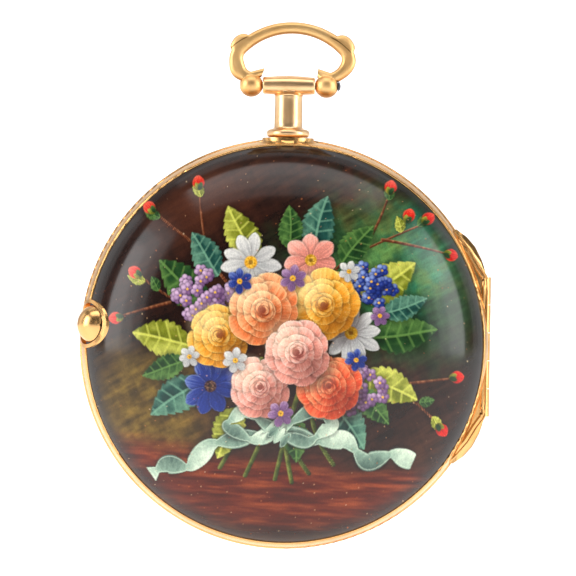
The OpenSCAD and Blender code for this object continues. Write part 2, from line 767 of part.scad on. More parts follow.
module hour_wheel() {
    color("gold") hang() {
        wheel(hour_teeth, hour_module, minute_angle, -0.45, 0.22, 1.2, 4, 0.68);
        ring(1.02, 0.68, -2.4, 2.05);
    }
}

module third_wheel() {
    color("gold") hang() at(third_at)
        wheel(third_teeth, third_module, contrate_angle, 4.6, 0.35, 0.8, 4, 0.4);
}

module third_pinion() {
    color("slategray") hang() at(third_at) {
        arbor(plate_front, top_back, 0.4);
        leaves(third_leaves, centre_module, third_angle + 180, 1.2, 0.6);
    }
}

// The contrate wheel: teeth that stand up along its arbor, to turn the drive through a right angle
module contrate_wheel() {
    floor_z = 1.9;
    root_z = 2.9;
    tip_z = 3.5;
    pitch = 360 / contrate_teeth;
    color("gold") hang() at(contrate_at) {
        ring(contrate_r + 0.2, contrate_r - 0.2, floor_z, root_z - floor_z);
        translate([0, 0, floor_z]) linear_extrude(0.3) difference() {
            union() {
                circle(r = 0.8);
                for (i = [0:2])
                    rotate(120 * i) translate([0, -0.35]) square([contrate_r - 0.1, 0.7]);
            }
            circle(r = 0.4);
        }
        for (i = [0:contrate_teeth - 1]) rotate([0, 0, escape_angle + 180 + pitch * i])
            translate([0, 0, root_z - 0.05]) linear_extrude(tip_z - root_z + 0.05)
                polygon([polar(contrate_r - 0.16, -pitch * 0.18), polar(contrate_r + 0.16, -pitch * 0.18),
                    polar(contrate_r + 0.16, pitch * 0.18), polar(contrate_r - 0.16, pitch * 0.18)]);
    }
}

module contrate_pinion() {
    color("slategray") hang() at(contrate_at) {
        arbor(plate_front, top_back, 0.4);
        leaves(contrate_leaves, third_module, contrate_angle + 180, 4.4, 0.75);
    }
}

// Lays a shape drawn along z on the escape wheel's arbor, which starts at the verge
module along_escape() {
    at(verge_at, escape_z) rotate([0, 0, escape_angle]) rotate([0, 90, 0]) children();
}

// The crown-shaped escape wheel with its saw teeth facing the verge
module escape_wheel() {
    band_in = 2.0;
    root = escape_tips + 1.0;
    back = 2.45;
    pitch_w = 2 * PI * escape_r / escape_teeth;
    color("gold") hang() along_escape() {
        difference() {
            translate([0, 0, root - 0.05]) cylinder(r = escape_r, h = back - root);
            translate([0, 0, root - 1]) cylinder(r = band_in, h = back - root + 0.65);
            translate([0, 0, 0]) cylinder(r = 0.3, h = 9, $fn = 32);
        }
        for (i = [0:escape_teeth - 1]) rotate([0, 0, 360 * i / escape_teeth])
            translate([band_in + 0.03, 0, 0]) rotate([90, 0, 90]) linear_extrude(0.22)
                polygon([[-pitch_w * 0.42, root], [-pitch_w * 0.45, escape_tips],
                    [-pitch_w * 0.28, escape_tips + 0.12], [pitch_w * 0.1, root - 0.25],
                    [pitch_w * 0.36, root]]);
    }
}

module escape_pinion() {
    leaf_module = 2 * contrate_r / contrate_teeth;
    color("slategray") hang() along_escape() {
        translate([0, 0, 0.55]) cylinder(r = 0.15, h = 1.6, $fn = 24);
        translate([0, 0, 1.3]) cylinder(r = 0.3, h = 2.85, $fn = 32);
        translate([0, 0, 4]) cylinder(r = 0.2, h = 1.0, $fn = 24);
        leaves(escape_leaves, leaf_module, 0, 2.75, 0.95);
    }
}

// The fusee: a bored cone whose hollow flank carries one spiral groove for the chain
fusee_z0 = 2.6;
fusee_z1 = 5.7;
fusee_base_r = 5.5;
fusee_top_r = 2.7;
fusee_rows = 48;
fusee_cols = 36;
function fusee_flank(u) = fusee_top_r + (fusee_base_r - fusee_top_r) * pow(1 - u, 1.35);
function groove(u, a) = let (turn = groove_start + u * fusee_turns + a / 360, f = turn - floor(turn))
    u < 0.04 || u > 0.97 ? 0 : 0.3 * max(0, sin(180 * min(1, f / 0.72)));

module fusee() {
    points = concat(
        [for (i = [0:fusee_rows], j = [0:fusee_cols - 1])
            let (u = i / fusee_rows, a = 360 * j / fusee_cols,
                r = fusee_flank(u) - groove(u, a))
            [r * cos(a), r * sin(a), fusee_z0 + (fusee_z1 - fusee_z0) * u]],
        [for (z = [fusee_z0, fusee_z1], j = [0:fusee_cols - 1])
            let (a = 360 * j / fusee_cols) [0.82 * cos(a), 0.82 * sin(a), z]]);
    foot = (fusee_rows + 1) * fusee_cols;
    head = foot + fusee_cols;
    last = fusee_rows * fusee_cols;
    sides = [for (i = [0:fusee_rows - 1], j = [0:fusee_cols - 1])
        let (k = (j + 1) % fusee_cols, p = i * fusee_cols, q = p + fusee_cols)
        each [[p + j, q + k, p + k], [p + j, q + j, q + k]]];
    caps = [for (j = [0:fusee_cols - 1]) let (k = (j + 1) % fusee_cols)
        each [[foot + j, j, k, foot + k], [head + j, head + k, last + k, last + j],
            [foot + j, foot + k, head + k, head + j]]];
    color("gold") hang() at(fusee_at) polyhedron(points, concat(sides, caps));
}

module great_wheel() {
    color("gold") hang() at(fusee_at) {
        wheel(great_teeth, great_module, fusee_angle + 180, 2.1, 0.4, 5.2, 4, 0.8);
    }
}

// The fusee's arbor, with the square that the key winds
module fusee_arbor() {
    color("silver") hang() at(fusee_at) {
        disc(0.8, plate_front, top_back - plate_front);
        disc(fusee_top_r + 0.4, fusee_z1, 0.2);
        translate([-0.52, -0.52, top_back - 0.1]) cube([1.04, 1.04, 1.6]);
    }
}

// The chain: figure-eight links, two outer and one inner in turn, along a straight run
chain_level = 4.35;
link_pitch = 0.9;
link_half = 0.26;
link_thick = 0.13;
chain_barrel_r = barrel_out_r + 0.42;
chain_fusee_r = 4.02;
centres_run = norm(fusee_at - barrel_at);
centres_angle = atan2(fusee_at[1] - barrel_at[1], fusee_at[0] - barrel_at[0]);
chain_turn = centres_angle - acos((chain_barrel_r - chain_fusee_r) / centres_run);
chain_from = barrel_at + polar(chain_barrel_r, chain_turn);
chain_to = fusee_at + polar(chain_fusee_r, chain_turn);
chain_length = norm(chain_to - chain_from);
link_count = floor((chain_length - 2) / link_pitch);
leave_u = (chain_level - fusee_z0) / (fusee_z1 - fusee_z0);
groove_start = 0.36 - chain_turn / 360 - leave_u * fusee_turns;

module chain_link(length) {
    rotate([90, 0, 0]) linear_extrude(link_thick, center = true) union() {
        for (e = [0, length]) translate([e, 0]) circle(r = link_half, $fn = 20);
        translate([0, -link_half * 0.55]) square([length, link_half * 1.1]);
    }
}

module chain_run() {
    heading = atan2(chain_to[1] - chain_from[1], chain_to[0] - chain_from[0]);
    color("silver") hang() at(chain_from, chain_level) rotate([0, 0, heading])
        for (i = [0:link_count - 1]) translate([0.5 + i * link_pitch, 0, 0]) {
            if (i % 2 == 0) chain_link(link_pitch);
            else for (s = [-1, 1]) translate([0, s * (link_thick + 0.02), 0]) chain_link(link_pitch);
            if (i > 0) rotate([90, 0, 0]) cylinder(r = 0.11, h = 3.5 * link_thick, center = true, $fn = 16);
        }
}

// A flat band coiled round z: radius and height by the share of its length, from one angle on
module coiled_band(radii, heights, turns, from, steps) {
    points = [for (i = [0:steps]) let (s = i / steps, a = from + 360 * turns * s)
        for (c = [[0, -0.16], [0.22, -0.16], [0.22, 0.16], [0, 0.16]])
            let (r = lookup(s, radii) + c[0])
            [r * cos(a), r * sin(a), lookup(s, heights) + c[1]]];
    sides = [for (i = [0:steps - 1], j = [0:3]) let (k = (j + 1) % 4, p = 4 * i, q = p + 4)
        each [[p + j, q + k, p + k], [p + j, q + j, q + k]]];
    polyhedron(points, concat(sides, [[0, 1, 2, 3], [for (j = [3:-1:0]) 4 * steps + j]]));
}

// The chain's coils in the fusee's grooves, from the level where the run leaves to its foot
module chain_on_fusee() {
    turns = 3;
    color("silver") hang() at(fusee_at) coiled_band(
        [for (i = [0:12]) [i / 12, fusee_flank(leave_u - turns * i / 12 / fusee_turns)
            + 0.17 + 0.08 * i / 12]],
        [for (i = [0, 1]) [i, fusee_z0 + (fusee_z1 - fusee_z0) * (leave_u - turns * i / fusee_turns)]],
        turns, chain_turn, 72);
}

module chain_on_barrel() {
    color("silver") hang() at(barrel_at)
        coiled_band([[0, barrel_out_r + 0.08], [1, barrel_out_r + 0.08]],
            [[0, 3.2], [1, chain_level]], 2.5, chain_turn - 900, 60);
}

// The barrel: a drum with a snapped-in cover and the mainspring coiled round its arbor
barrel_z0 = 2.0;
barrel_z1 = 5.9;
barrel_wall = 0.45;
module mainspring_barrel() {
    color("gold") hang() at(barrel_at) difference() {
        union() {
            disc(barrel_out_r, barrel_z0, barrel_z1 - barrel_z0);
        }
        translate([0, 0, barrel_z0 + barrel_wall])
            cylinder(r = barrel_out_r - barrel_wall, h = 9);
        translate([0, 0, 0]) cylinder(r = 0.84, h = 9);
    }
}

module barrel_cover() {
    color("gold") hang() at(barrel_at)
        ring(barrel_out_r - barrel_wall, 0.84, barrel_z1 - 0.4, 0.4);
}

function spiral(r0, r1, turns, steps, offset) =
    [for (i = [0:steps]) polar(r0 + (r1 - r0) * i / steps + offset, 360 * turns * i / steps)];

module mainspring() {
    color("slategray") hang() at(barrel_at, barrel_z0 + barrel_wall + 0.1) linear_extrude(2.8) {
        polygon(concat(spiral(2.4, 5.85, mainspring_turns, 24 * mainspring_turns, 0.1),
            reversed(spiral(2.4, 5.85, mainspring_turns, 24 * mainspring_turns, -0.1))));
    }
}

module barrel_arbor() {
    color("silver") hang() at(barrel_at) {
        disc(0.8, plate_front - 0.5, top_back - plate_front + 0.5);
        ring(1.9, 0.8, barrel_z0 + barrel_wall + 0.05, 2.9);
    }
}

// The set-up ratchet on the barrel's arbor, under the dial, with its click
module ratchet() {
    count = 18;
    r = 1.7;
    color("slategray") hang() {
        at(barrel_at, -0.05) linear_extrude(0.22) difference() {
            polygon([for (i = [0:count - 1]) each [polar(r, 360 * i / count),
                polar(r - 0.3, 360 * (i + 0.12) / count)]]);
            circle(r = 0.8);
        }
        at(barrel_at + [-2.35, 1.6], -0.05) linear_extrude(0.22)
            polygon([[-0.5, 0.6], [0.5, 0.6], [0.62, -0.9], [0.3, -1.1], [-0.3, -0.2]]);
    }
}

// The stop arm, lifted by the chain's last turn to stop the winding
module stop_work() {
    color("slategray") hang() {
        at(fusee_at + [7.4, -1.6], 6.05) linear_extrude(0.3)
            polygon([[-3.2, 0.2], [0.4, 0.7], [1.4, 0.3], [1.4, -0.3], [0.4, -0.5], [-3.2, -0.3]]);
        at(fusee_at + [8.3, -1.6], 6.2) cylinder(r = 0.5, h = 0.3, $fn = 24);
    }
}

// The verge: an upright staff with two flag pallets about a right angle apart
pallet_spread = 50;
module verge_staff() {
    color("slategray") hang() at(verge_at) {
        disc(0.22, 1.7, 6.4);
        disc(0.12, 1.2, 7.3);
        for (s = [-1, 1]) rotate([0, 0, escape_angle + s * pallet_spread])
            translate([0, -0.07, escape_z + s * 1.9 - 0.4]) cube([0.82, 0.14, 0.8]);
        disc(0.55, balance_z - 0.12, 0.12);
    }
}

module balance_wheel() {
    color("gold") hang() at(verge_at, balance_z) linear_extrude(0.3) difference() {
        union() {
            difference() {
                circle(r = balance_r);
                circle(r = balance_r - 0.62);
            }
            for (i = [0:2])
                rotate(90 + 120 * i) translate([0, -0.35]) square([balance_r - 0.3, 0.7]);
            circle(r = 0.9);
        }
        circle(r = 0.22);
    }
}

// The flat balance spring and the stud that holds its outer end
module balance_spring() {
    steps = 40;
    turns = spring_turns;
    color("steelblue") hang() {
        at(verge_at, 7.28) linear_extrude(0.12)
            polygon(concat(spiral(0.75, 3.1, turns, steps * turns, 0.045),
                reversed(spiral(0.75, 3.1, turns, steps * turns, -0.045))));
        at(verge_at + polar(3.12, 360 * turns), top_back) translate([-0.25, -0.3, 0])
            cube([0.5, 0.6, 0.24]);
    }
}

// The cock: a round table pierced with leaves over the balance, its neck and its foot
cock_r = 7.9;
module cock_piercing() {
    for (i = [0:7]) rotate(45 * i) {
        intersection() {
            translate([4.9, 1.45]) circle(r = 2.3);
            translate([4.9, -1.45]) circle(r = 2.3);
        }
        rotate(22.5) difference() {
            translate([5.75, 0]) circle(r = 1.05);
            translate([5.1, 0]) circle(r = 0.62);
        }
        rotate(22.5) translate([3.05, 0]) circle(r = 0.42);
    }
}

module balance_cock() {
    neck_y = verge_at[1] + balance_r + 0.35;
    color("gold") hang() {
        difference() {
            union() {
                at(verge_at, cock_z) linear_extrude(cock_top - cock_z) difference() {
                    circle(r = cock_r);
                    cock_piercing();
                }
                translate([-3, neck_y, top_back]) cube([6, 0.55, cock_top - top_back]);
                translate([0, 0, top_back]) linear_extrude(0.55)
                    polygon([[-3, neck_y], [3, neck_y], [4, 17.1], [1.2, 17.3], [0, 17.5],
                        [-1.2, 17.3], [-4, 17.1]]);
            }
            at(verge_at, cock_z - 1) cylinder(r = 0.15, h = 3, $fn = 24);
            translate([0, 16.35, 6.5]) cylinder(r = 0.35, h = 3, $fn = 24);
        }
    }
}

module cock_end_piece() {
    color("crimson") hang() at(verge_at) {
        disc(0.55, cock_top, 0.22);
        ring(1.0, 0.55, cock_top, 0.16);
    }
}

// The potence: hangs from the top plate and holds the verge's foot and the crown wheel's pivot
module potence() {
    color("gold") hang() difference() {
        union() {
            at(verge_at) {
                translate([-0.9, 3.0, 1.05]) cube([1.8, 1.5, top_front - 1.05]);
                translate([-0.6, -0.55, 1.05]) cube([1.2, 4, 0.5]);
            }
            at(verge_at, escape_z) rotate([0, 0, escape_angle])
                translate([0.4, -0.5, -0.7]) cube([0.4, 4.0, 1.4]);
        }
        at(verge_at, 0) cylinder(r = 0.16, h = 2, $fn = 24);
        along_escape() cylinder(r = 0.19, h = 1.5, $fn = 24);
    }
}

module counter_potence() {
    color("gold") hang() at(verge_at) rotate([0, 0, escape_angle]) difference() {
        translate([4.2, -0.5, escape_z - 0.55]) cube([0.8, 1.4, top_front - escape_z + 0.55]);
        translate([4, 0, escape_z]) rotate([0, 90, 0]) cylinder(r = 0.23, h = 2, $fn = 24);
    }
}

// The silvered figure plate that sets the spring's length, with its square
module regulator_disc() {
    color("gainsboro") hang() at(regulator_at) {
        difference() {
            disc(3.2, top_back, 0.32);
            for (i = [0:11]) rotate([0, 0, 30 * i])
                translate([2.75, 0, top_back + 0.2]) cylinder(r = 0.16, h = 1, $fn = 16);
        }
        translate([-0.4, -0.4, top_back]) cube([0.8, 0.8, 0.95]);
    }
}

module screw(point, z, r) {
    at(point, z) difference() {
        cylinder(r = r, h = 0.35, $fn = 32);
        translate([-2, -0.09, 0.2]) cube([4, 0.18, 1]);
    }
}

// The cock's screw and the heads that show on the top plate
module plate_screws() {
    color("royalblue") hang() {
        screw([0, 16.35], top_back + 0.55, 0.75);
        translate([0, 16.35, 6.9]) cylinder(r = 0.33, h = 0.95, $fn = 24);
        screw(regulator_at + [4.6, 2.4], top_back, 0.6);
        screw([8.6, 10.4], top_back, 0.6);
        screw([12.4, -3.2], top_back, 0.6);
    }
}

bow();
bow_pin();
outer_back_shell();
enamel_back();
button_collar();
latch_spring();
outer_hinge_pin();
outer_bezel();
push_button();
inner_case_bowl();
pendant();
inner_hinge_pin();
inner_bezel();
watch_glass();
dial();
dial_edge();
movement_hinge();
movement_latch();
pillar_plate();
pillars();
top_plate();
pillar_pins();
minute_hand();
cannon_pinion();
centre_wheel();
centre_pinion();
hour_hand();
hour_wheel();
minute_wheel();
minute_pinion();
third_wheel();
third_pinion();
contrate_wheel();
contrate_pinion();
escape_wheel();
escape_pinion();
fusee();
great_wheel();
fusee_arbor();
chain_on_fusee();
chain_run();
chain_on_barrel();
mainspring_barrel();
barrel_cover();
mainspring();
barrel_arbor();
ratchet();
stop_work();
verge_staff();
balance_wheel();
balance_spring();
balance_cock();
cock_end_piece();
potence();
counter_potence();
regulator_disc();
plate_screws();
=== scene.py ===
"""The pair-cased verge watch dressed for its photograph: painted enamel back, gold cases,
bow and pendant, dial, hands and glass, and the gilt movement inside."""

import json
import math

import bmesh
import bpy
import numpy as np
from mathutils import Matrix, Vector


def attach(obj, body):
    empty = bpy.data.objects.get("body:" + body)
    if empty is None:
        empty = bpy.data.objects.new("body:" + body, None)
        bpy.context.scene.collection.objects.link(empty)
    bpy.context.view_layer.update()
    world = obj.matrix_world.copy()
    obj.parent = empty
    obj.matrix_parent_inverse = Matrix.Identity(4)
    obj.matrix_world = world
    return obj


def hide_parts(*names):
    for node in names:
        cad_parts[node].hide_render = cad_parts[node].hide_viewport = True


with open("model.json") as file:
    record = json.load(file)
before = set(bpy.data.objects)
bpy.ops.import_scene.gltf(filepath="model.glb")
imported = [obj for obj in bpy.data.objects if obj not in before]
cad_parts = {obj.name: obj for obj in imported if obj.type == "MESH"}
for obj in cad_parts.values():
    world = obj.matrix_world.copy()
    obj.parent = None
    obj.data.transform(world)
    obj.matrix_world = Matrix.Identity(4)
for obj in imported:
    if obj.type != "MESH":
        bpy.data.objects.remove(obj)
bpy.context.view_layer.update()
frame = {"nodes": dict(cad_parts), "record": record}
nodes = frame["nodes"]

# Sizes repeated from the part's source, in millimetres on the bench:
# x to the hinge, y to twelve, z to the painted back
CASE_R = 27.0
BACK_HEIGHT = 12.5
BACK_POWER = 2.2
SPLIT_R = CASE_R - 0.2
ENAMEL_R = CASE_R - 0.95
PIN_Y = 33.95
BOW_ARC_R = 9.6
BOW_HALF = 0.77
BOW_MID_Y = PIN_Y - 2.0
HANG_Y = BOW_MID_Y + BOW_ARC_R - BOW_HALF
DIAL_R = 20.6
DIAL_FRONT = -1.4
MM = 0.001
# Corners nearer than this, in metres, are one
SAME_PLACE = 1e-9
# How deep and how contrasted the fired colours are
PAINT_DEPTH = 1.15
PAINT_CONTRAST = 1.28
# The white paper's own light and the light of the room beyond it
PAPER_GLOW = 0.72
ROOM_LIGHT = 0.13


def hang(x, y, z):
    """Bench millimetres to the hanging watch in metres: the back faces -Y and twelve is up."""
    return np.stack([x, -z, y - HANG_Y], axis=-1) * MM


def finish_mesh(name, points, quads, body, material, stands_for=(), colours=None):
    """One piece from its points and four-sided faces, with smooth faces, riding on a body."""
    mesh = bpy.data.meshes.new(name)
    mesh.vertices.add(len(points))
    mesh.vertices.foreach_set("co", points.astype(np.float32).ravel())
    mesh.loops.add(quads.size)
    mesh.loops.foreach_set("vertex_index", quads.astype(np.int32).ravel())
    mesh.polygons.add(len(quads))
    mesh.polygons.foreach_set("loop_start", np.arange(0, quads.size, quads.shape[1], dtype=np.int32))
    mesh.update(calc_edges=True)
    mesh.polygons.foreach_set("use_smooth", np.ones(len(quads), bool))
    if colours is not None:
        layer = mesh.color_attributes.new("paint", "FLOAT_COLOR", "POINT")
        layer.data.foreach_set("color", np.c_[colours, np.ones(len(colours))].astype(np.float32).ravel())
    mesh.validate(verbose=False)
    piece = bpy.data.objects.new(name, mesh)
    bpy.context.scene.collection.objects.link(piece)
    mesh.materials.append(material)
    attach(piece, body)
    if stands_for:
        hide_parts(*stands_for)
    return piece


def merged(mesh, distance, slivers=0.0):
    """Joins a mesh's corners that lie within a distance, and drops edges shorter than slivers."""
    work = bmesh.new()
    work.from_mesh(mesh)
    bmesh.ops.remove_doubles(work, verts=work.verts, dist=distance)
    if slivers:
        bmesh.ops.dissolve_degenerate(work, edges=work.edges, dist=slivers)
    work.to_mesh(mesh)
    work.free()


def grid_faces(rows, cols, around=True, flip=False):
    """Quads of a rows by cols grid of points, joined round its columns if it is a tube."""
    last = cols if around else cols - 1
    i, j = np.meshgrid(np.arange(rows - 1), np.arange(last), indexing="ij")
    k = (j + 1) % cols
    quads = np.stack([i * cols + j, i * cols + k, (i + 1) * cols + k, (i + 1) * cols + j], -1)
    quads = quads.reshape(-1, 4)
    return quads[:, ::-1] if flip else quads


# ---- materials ----

def new_material(name):
    """An empty node material with its principled shader."""
    made = bpy.data.materials.new(name)
    made.use_nodes = True
    return made, made.node_tree.nodes, made.node_tree.links, made.node_tree.nodes["Principled BSDF"]


def noise(tree_nodes, links, scale, detail=3.0, rough=0.55, stretch=(1, 1, 1), turn=(0, 0, 0)):
    """A noise texture on Object coordinates, its scale per millimetre, stretched if asked."""
    coords = tree_nodes.new("ShaderNodeTexCoord")
    mapping = tree_nodes.new("ShaderNodeMapping")
    mapping.inputs["Scale"].default_value = [s * 1000 for s in stretch]
    mapping.inputs["Rotation"].default_value = turn
    texture = tree_nodes.new("ShaderNodeTexNoise")
    texture.inputs["Scale"].default_value = scale
    texture.inputs["Detail"].default_value = detail
    texture.inputs["Roughness"].default_value = rough
    links.new(coords.outputs["Object"], mapping.inputs["Vector"])
    links.new(mapping.outputs["Vector"], texture.inputs["Vector"])
    return texture.outputs["Fac"]


def ramp(tree_nodes, links, source, stops):
    """A colour ramp from (position, colour) stops."""
    made = tree_nodes.new("ShaderNodeValToRGB")
    band = made.color_ramp
    while len(band.elements) < len(stops):
        band.elements.new(0.5)
    for element, (place, colour) in zip(band.elements, stops):
        element.position = place
        element.color = (*colour, 1) if len(colour) == 3 else colour
    links.new(source, made.inputs["Fac"])
    return made.outputs["Color"]


def spread(tree_nodes, links, source, low, high, start=0.3, end=0.7):
    """Maps a value's range from start to end onto low to high, and holds it there beyond."""
    made = tree_nodes.new("ShaderNodeMapRange")
    for key, value in (("From Min", start), ("From Max", end), ("To Min", low), ("To Max", high)):
        made.inputs[key].default_value = value
    links.new(source, made.inputs["Value"])
    return made.outputs["Result"]


def calc(tree_nodes, links, operation, first, second=None):
    """One arithmetic step on a socket and a number or a second socket."""
    made = tree_nodes.new("ShaderNodeMath")
    made.operation = operation
    links.new(first, made.inputs[0])
    if isinstance(second, (int, float)):
        made.inputs[1].default_value = second
    elif second is not None:
        links.new(second, made.inputs[1])
    return made.outputs["Value"]


def bump(tree_nodes, links, source, height, shader, before=None):
    """A bump of that height in metres, after another one if given."""
    made = tree_nodes.new("ShaderNodeBump")
    made.inputs["Strength"].default_value = 1.0
    made.inputs["Distance"].default_value = height
    links.new(source, made.inputs["Height"])
    if before is not None:
        links.new(before, made.inputs["Normal"])
    if shader is not None:
        links.new(made.outputs["Normal"], shader.inputs["Normal"])
    return made.outputs["Normal"]


def metal(name, dark, pale, rough, grain=0.5, scratch=0.0, dent=0.0, lines=(1, 1, 14)):
    """A metal: colour wandering between two tones, roughness with its own clouds, fine
    scratches along one way, and faint dents."""
    made, n, l, shader = new_material(name)
    shader.inputs["Metallic"].default_value = 1.0
    tone = noise(n, l, grain, 4)
    l.new(ramp(n, l, tone, [(0.3, dark), (0.62, pale)]), shader.inputs["Base Color"])
    clouds = noise(n, l, grain * 2.3, 5, 0.6)
    l.new(spread(n, l, clouds, rough[0], rough[1]), shader.inputs["Roughness"])
    fine = noise(n, l, 1.4, 3, 0.5, stretch=lines, turn=(0.3, 0.9, 0.2))
    before = bump(n, l, fine, scratch * 1e-6, None) if scratch else None
    soft = noise(n, l, 0.35, 2, 0.4)
    bump(n, l, soft, dent * 1e-6, shader, before)
    return made


GOLD = metal("polished_rose_gold", (0.79, 0.42, 0.14), (0.88, 0.51, 0.20), (0.20, 0.27), 0.25, 1.2, 4)
BOW_GOLD = metal("satin_bow_gold", (0.90, 0.52, 0.19), (0.97, 0.62, 0.27), (0.40, 0.47), 0.35, 2.2, 8)
NECK_GOLD = metal("polished_neck_gold", (0.93, 0.57, 0.28), (0.99, 0.67, 0.36), (0.28, 0.34), 0.35, 0.8,
                  1.2)
DARK_STEEL = metal("darkened_steel", (0.03, 0.03, 0.04), (0.10, 0.09, 0.10), (0.25, 0.4), 0.9, 1.5, 6)
STEEL = metal("polished_steel", (0.45, 0.46, 0.48), (0.62, 0.62, 0.62), (0.14, 0.3), 0.9, 2.0, 4)
BLUED = metal("blued_steel", (0.012, 0.03, 0.16), (0.03, 0.06, 0.30), (0.16, 0.26), 0.7, 1.0, 3)
GILT = metal("fire_gilding", (0.72, 0.45, 0.13), (0.86, 0.60, 0.24), (0.34, 0.5), 1.6, 3.5, 6, (1, 1, 1))
BRASS = metal("wheel_brass", (0.66, 0.43, 0.13), (0.82, 0.60, 0.24), (0.16, 0.32), 0.8, 2.5, 3)
SILVERED = metal("grained_silvering", (0.60, 0.59, 0.56), (0.78, 0.77, 0.73), (0.34, 0.5), 2.2, 3.0, 3)


def darken(made, mask, tone):
    """Multiply a metal's colour by a tone where the mask is one."""
    n, l = made.node_tree.nodes, made.node_tree.links
    colour = n["Principled BSDF"].inputs["Base Color"]
    mix = n.new("ShaderNodeMix")
    mix.data_type = "RGBA"
    mix.blend_type = "MULTIPLY"
    mix.inputs["B"].default_value = (*tone, 1)
    l.new(mask, mix.inputs["Factor"])
    l.new(colour.links[0].from_socket, mix.inputs["A"])
    l.new(mix.outputs["Result"], colour)


def painted_shade_below(made, tone, start=-0.45, end=-0.85):
    """Painted shade: a darker tone on the faces that look downwards on the piece itself, standing for the
    shadow under it.
    """
    n, l = made.node_tree.nodes, made.node_tree.links
    place, apart = n.new("ShaderNodeTexCoord"), n.new("ShaderNodeSeparateXYZ")
    l.new(place.outputs["Normal"], apart.inputs["Vector"])
    darken(made, spread(n, l, apart.outputs["Z"], 1.0, 0.0, end, start), tone)


def engrave_leaves(made):
    """The line that parts each of the bow's leaves from its band: with w = |x| - 5.2 mm, the
    curve z = -0.35 - 0.35 w - 0.12 w^2, drawn where 0 < w < 3.2 and cut 0.1 mm wide."""
    n, l = made.node_tree.nodes, made.node_tree.links
    place, apart = n.new("ShaderNodeTexCoord"), n.new("ShaderNodeSeparateXYZ")
    l.new(place.outputs["Object"], apart.inputs["Vector"])
    w = calc(n, l, "SUBTRACT", calc(n, l, "ABSOLUTE", apart.outputs["X"]), 5.2 * MM)
    bend = calc(n, l, "MULTIPLY", calc(n, l, "MULTIPLY", w, w), 0.12 / MM)
    line = calc(n, l, "ADD", calc(n, l, "MULTIPLY", w, 0.35), bend)
    off = calc(n, l, "ADD", calc(n, l, "ADD", apart.outputs["Z"], 0.35 * MM), line)
    near = spread(n, l, calc(n, l, "ABSOLUTE", off), 1.0, 0.0, 0.05 * MM, 0.12 * MM)
    inner = spread(n, l, w, 0.0, 1.0, 0.0, 0.5 * MM)
    outer = spread(n, l, w, 1.0, 0.0, 2.7 * MM, 3.2 * MM)
    darken(made, calc(n, l, "MULTIPLY", near, calc(n, l, "MULTIPLY", inner, outer)), (0.34, 0.24, 0.16))


# Painted shade: the bow's and the neck's gold drawn darker on their downward faces, as shadow under them
painted_shade_below(BOW_GOLD, (0.46, 0.36, 0.26), -0.25, -0.70)
engrave_leaves(BOW_GOLD)
painted_shade_below(NECK_GOLD, (0.62, 0.50, 0.42), -0.75, -0.92)


def painted_enamel():
    """The painted enamel: colour from the paint layer with fine brush grain over it, under a
    thick clear coat that is faintly wavy."""
    made, n, l, shader = new_material("painted_enamel")
    paint = n.new("ShaderNodeVertexColor")
    paint.layer_name = "paint"
    grain = noise(n, l, 5.5, 4, 0.65, stretch=(1, 1, 0.7), turn=(0, 0.5, 0))
    strength = spread(n, l, grain, 0.80, 1.22)
    mix = n.new("ShaderNodeMix")
    mix.data_type = "RGBA"
    mix.blend_type = "MULTIPLY"
    mix.inputs["Factor"].default_value = 1.0
    l.new(paint.outputs["Color"], mix.inputs["A"])
    l.new(strength, mix.inputs["B"])
    l.new(mix.outputs["Result"], shader.inputs["Base Color"])
    shader.inputs["Roughness"].default_value = 0.5
    shader.inputs["Specular IOR Level"].default_value = 0.04
    shader.inputs["Coat Weight"].default_value = 1.0
    shader.inputs["Coat Roughness"].default_value = 0.13
    shader.inputs["Coat IOR"].default_value = 1.42
    wave = n.new("ShaderNodeBump")
    wave.inputs["Distance"].default_value = 1.1e-5
    l.new(noise(n, l, 0.22, 2, 0.4), wave.inputs["Height"])
    l.new(wave.outputs["Normal"], shader.inputs["Coat Normal"])
    bump(n, l, grain, 2.5e-6, shader)
    return made


def plain_gloss(name, low, high, rough, coat=0.6):
    """A glazed or painted surface whose colour wanders a little."""
    made, n, l, shader = new_material(name)
    l.new(ramp(n, l, noise(n, l, 0.3, 4), [(0.32, low), (0.66, high)]), shader.inputs["Base Color"])
    l.new(spread(n, l, noise(n, l, 1.3, 3), rough[0], rough[1]), shader.inputs["Roughness"])
    shader.inputs["Coat Weight"].default_value = coat
    shader.inputs["Coat Roughness"].default_value = 0.05
    bump(n, l, noise(n, l, 0.5, 3), 4e-6, shader)
    return made


def clear(name, colour, rough, ior):
    """A clear stone or glass with faint wipe marks in its roughness."""
    made, n, l, shader = new_material(name)
    shader.inputs["Base Color"].default_value = (*colour, 1)
    shader.inputs["Transmission Weight"].default_value = 1.0
    shader.inputs["IOR"].default_value = ior
    l.new(spread(n, l, noise(n, l, 0.6, 4), rough[0], rough[1]), shader.inputs["Roughness"])
    bump(n, l, noise(n, l, 0.15, 2), 3e-6, shader)
    return made


ENAMEL = painted_enamel()
DIAL_WHITE = plain_gloss("dial_enamel", (0.90, 0.885, 0.83), (0.96, 0.95, 0.91), (0.16, 0.24))
DIAL_BLACK = plain_gloss("fired_black", (0.008, 0.008, 0.009), (0.02, 0.018, 0.018), (0.22, 0.34), 0.4)
CRYSTAL = clear("watch_crystal", (1, 1, 1), (0.0, 0.02), 1.5)
RUBY = clear("red_stone", (0.6, 0.05, 0.10), (0.0, 0.04), 1.76)
FINISHES = {
    "rose_gold": GOLD, "gilt_brass": GILT, "wheel_brass": BRASS, "painted_enamel": ENAMEL,
    "dial_enamel": DIAL_WHITE, "steel": STEEL, "dark_steel": DARK_STEEL, "blued_steel": BLUED,
    "silvered": SILVERED, "crystal": CRYSTAL, "jewel": RUBY,
}
BODY_OF = {n: body for body, some in frame["record"]["behaviour"]["bodies"].items() for n in some}
SLOT_OF = {one["node"]: one["material_slot"] for one in frame["record"]["subparts"]}


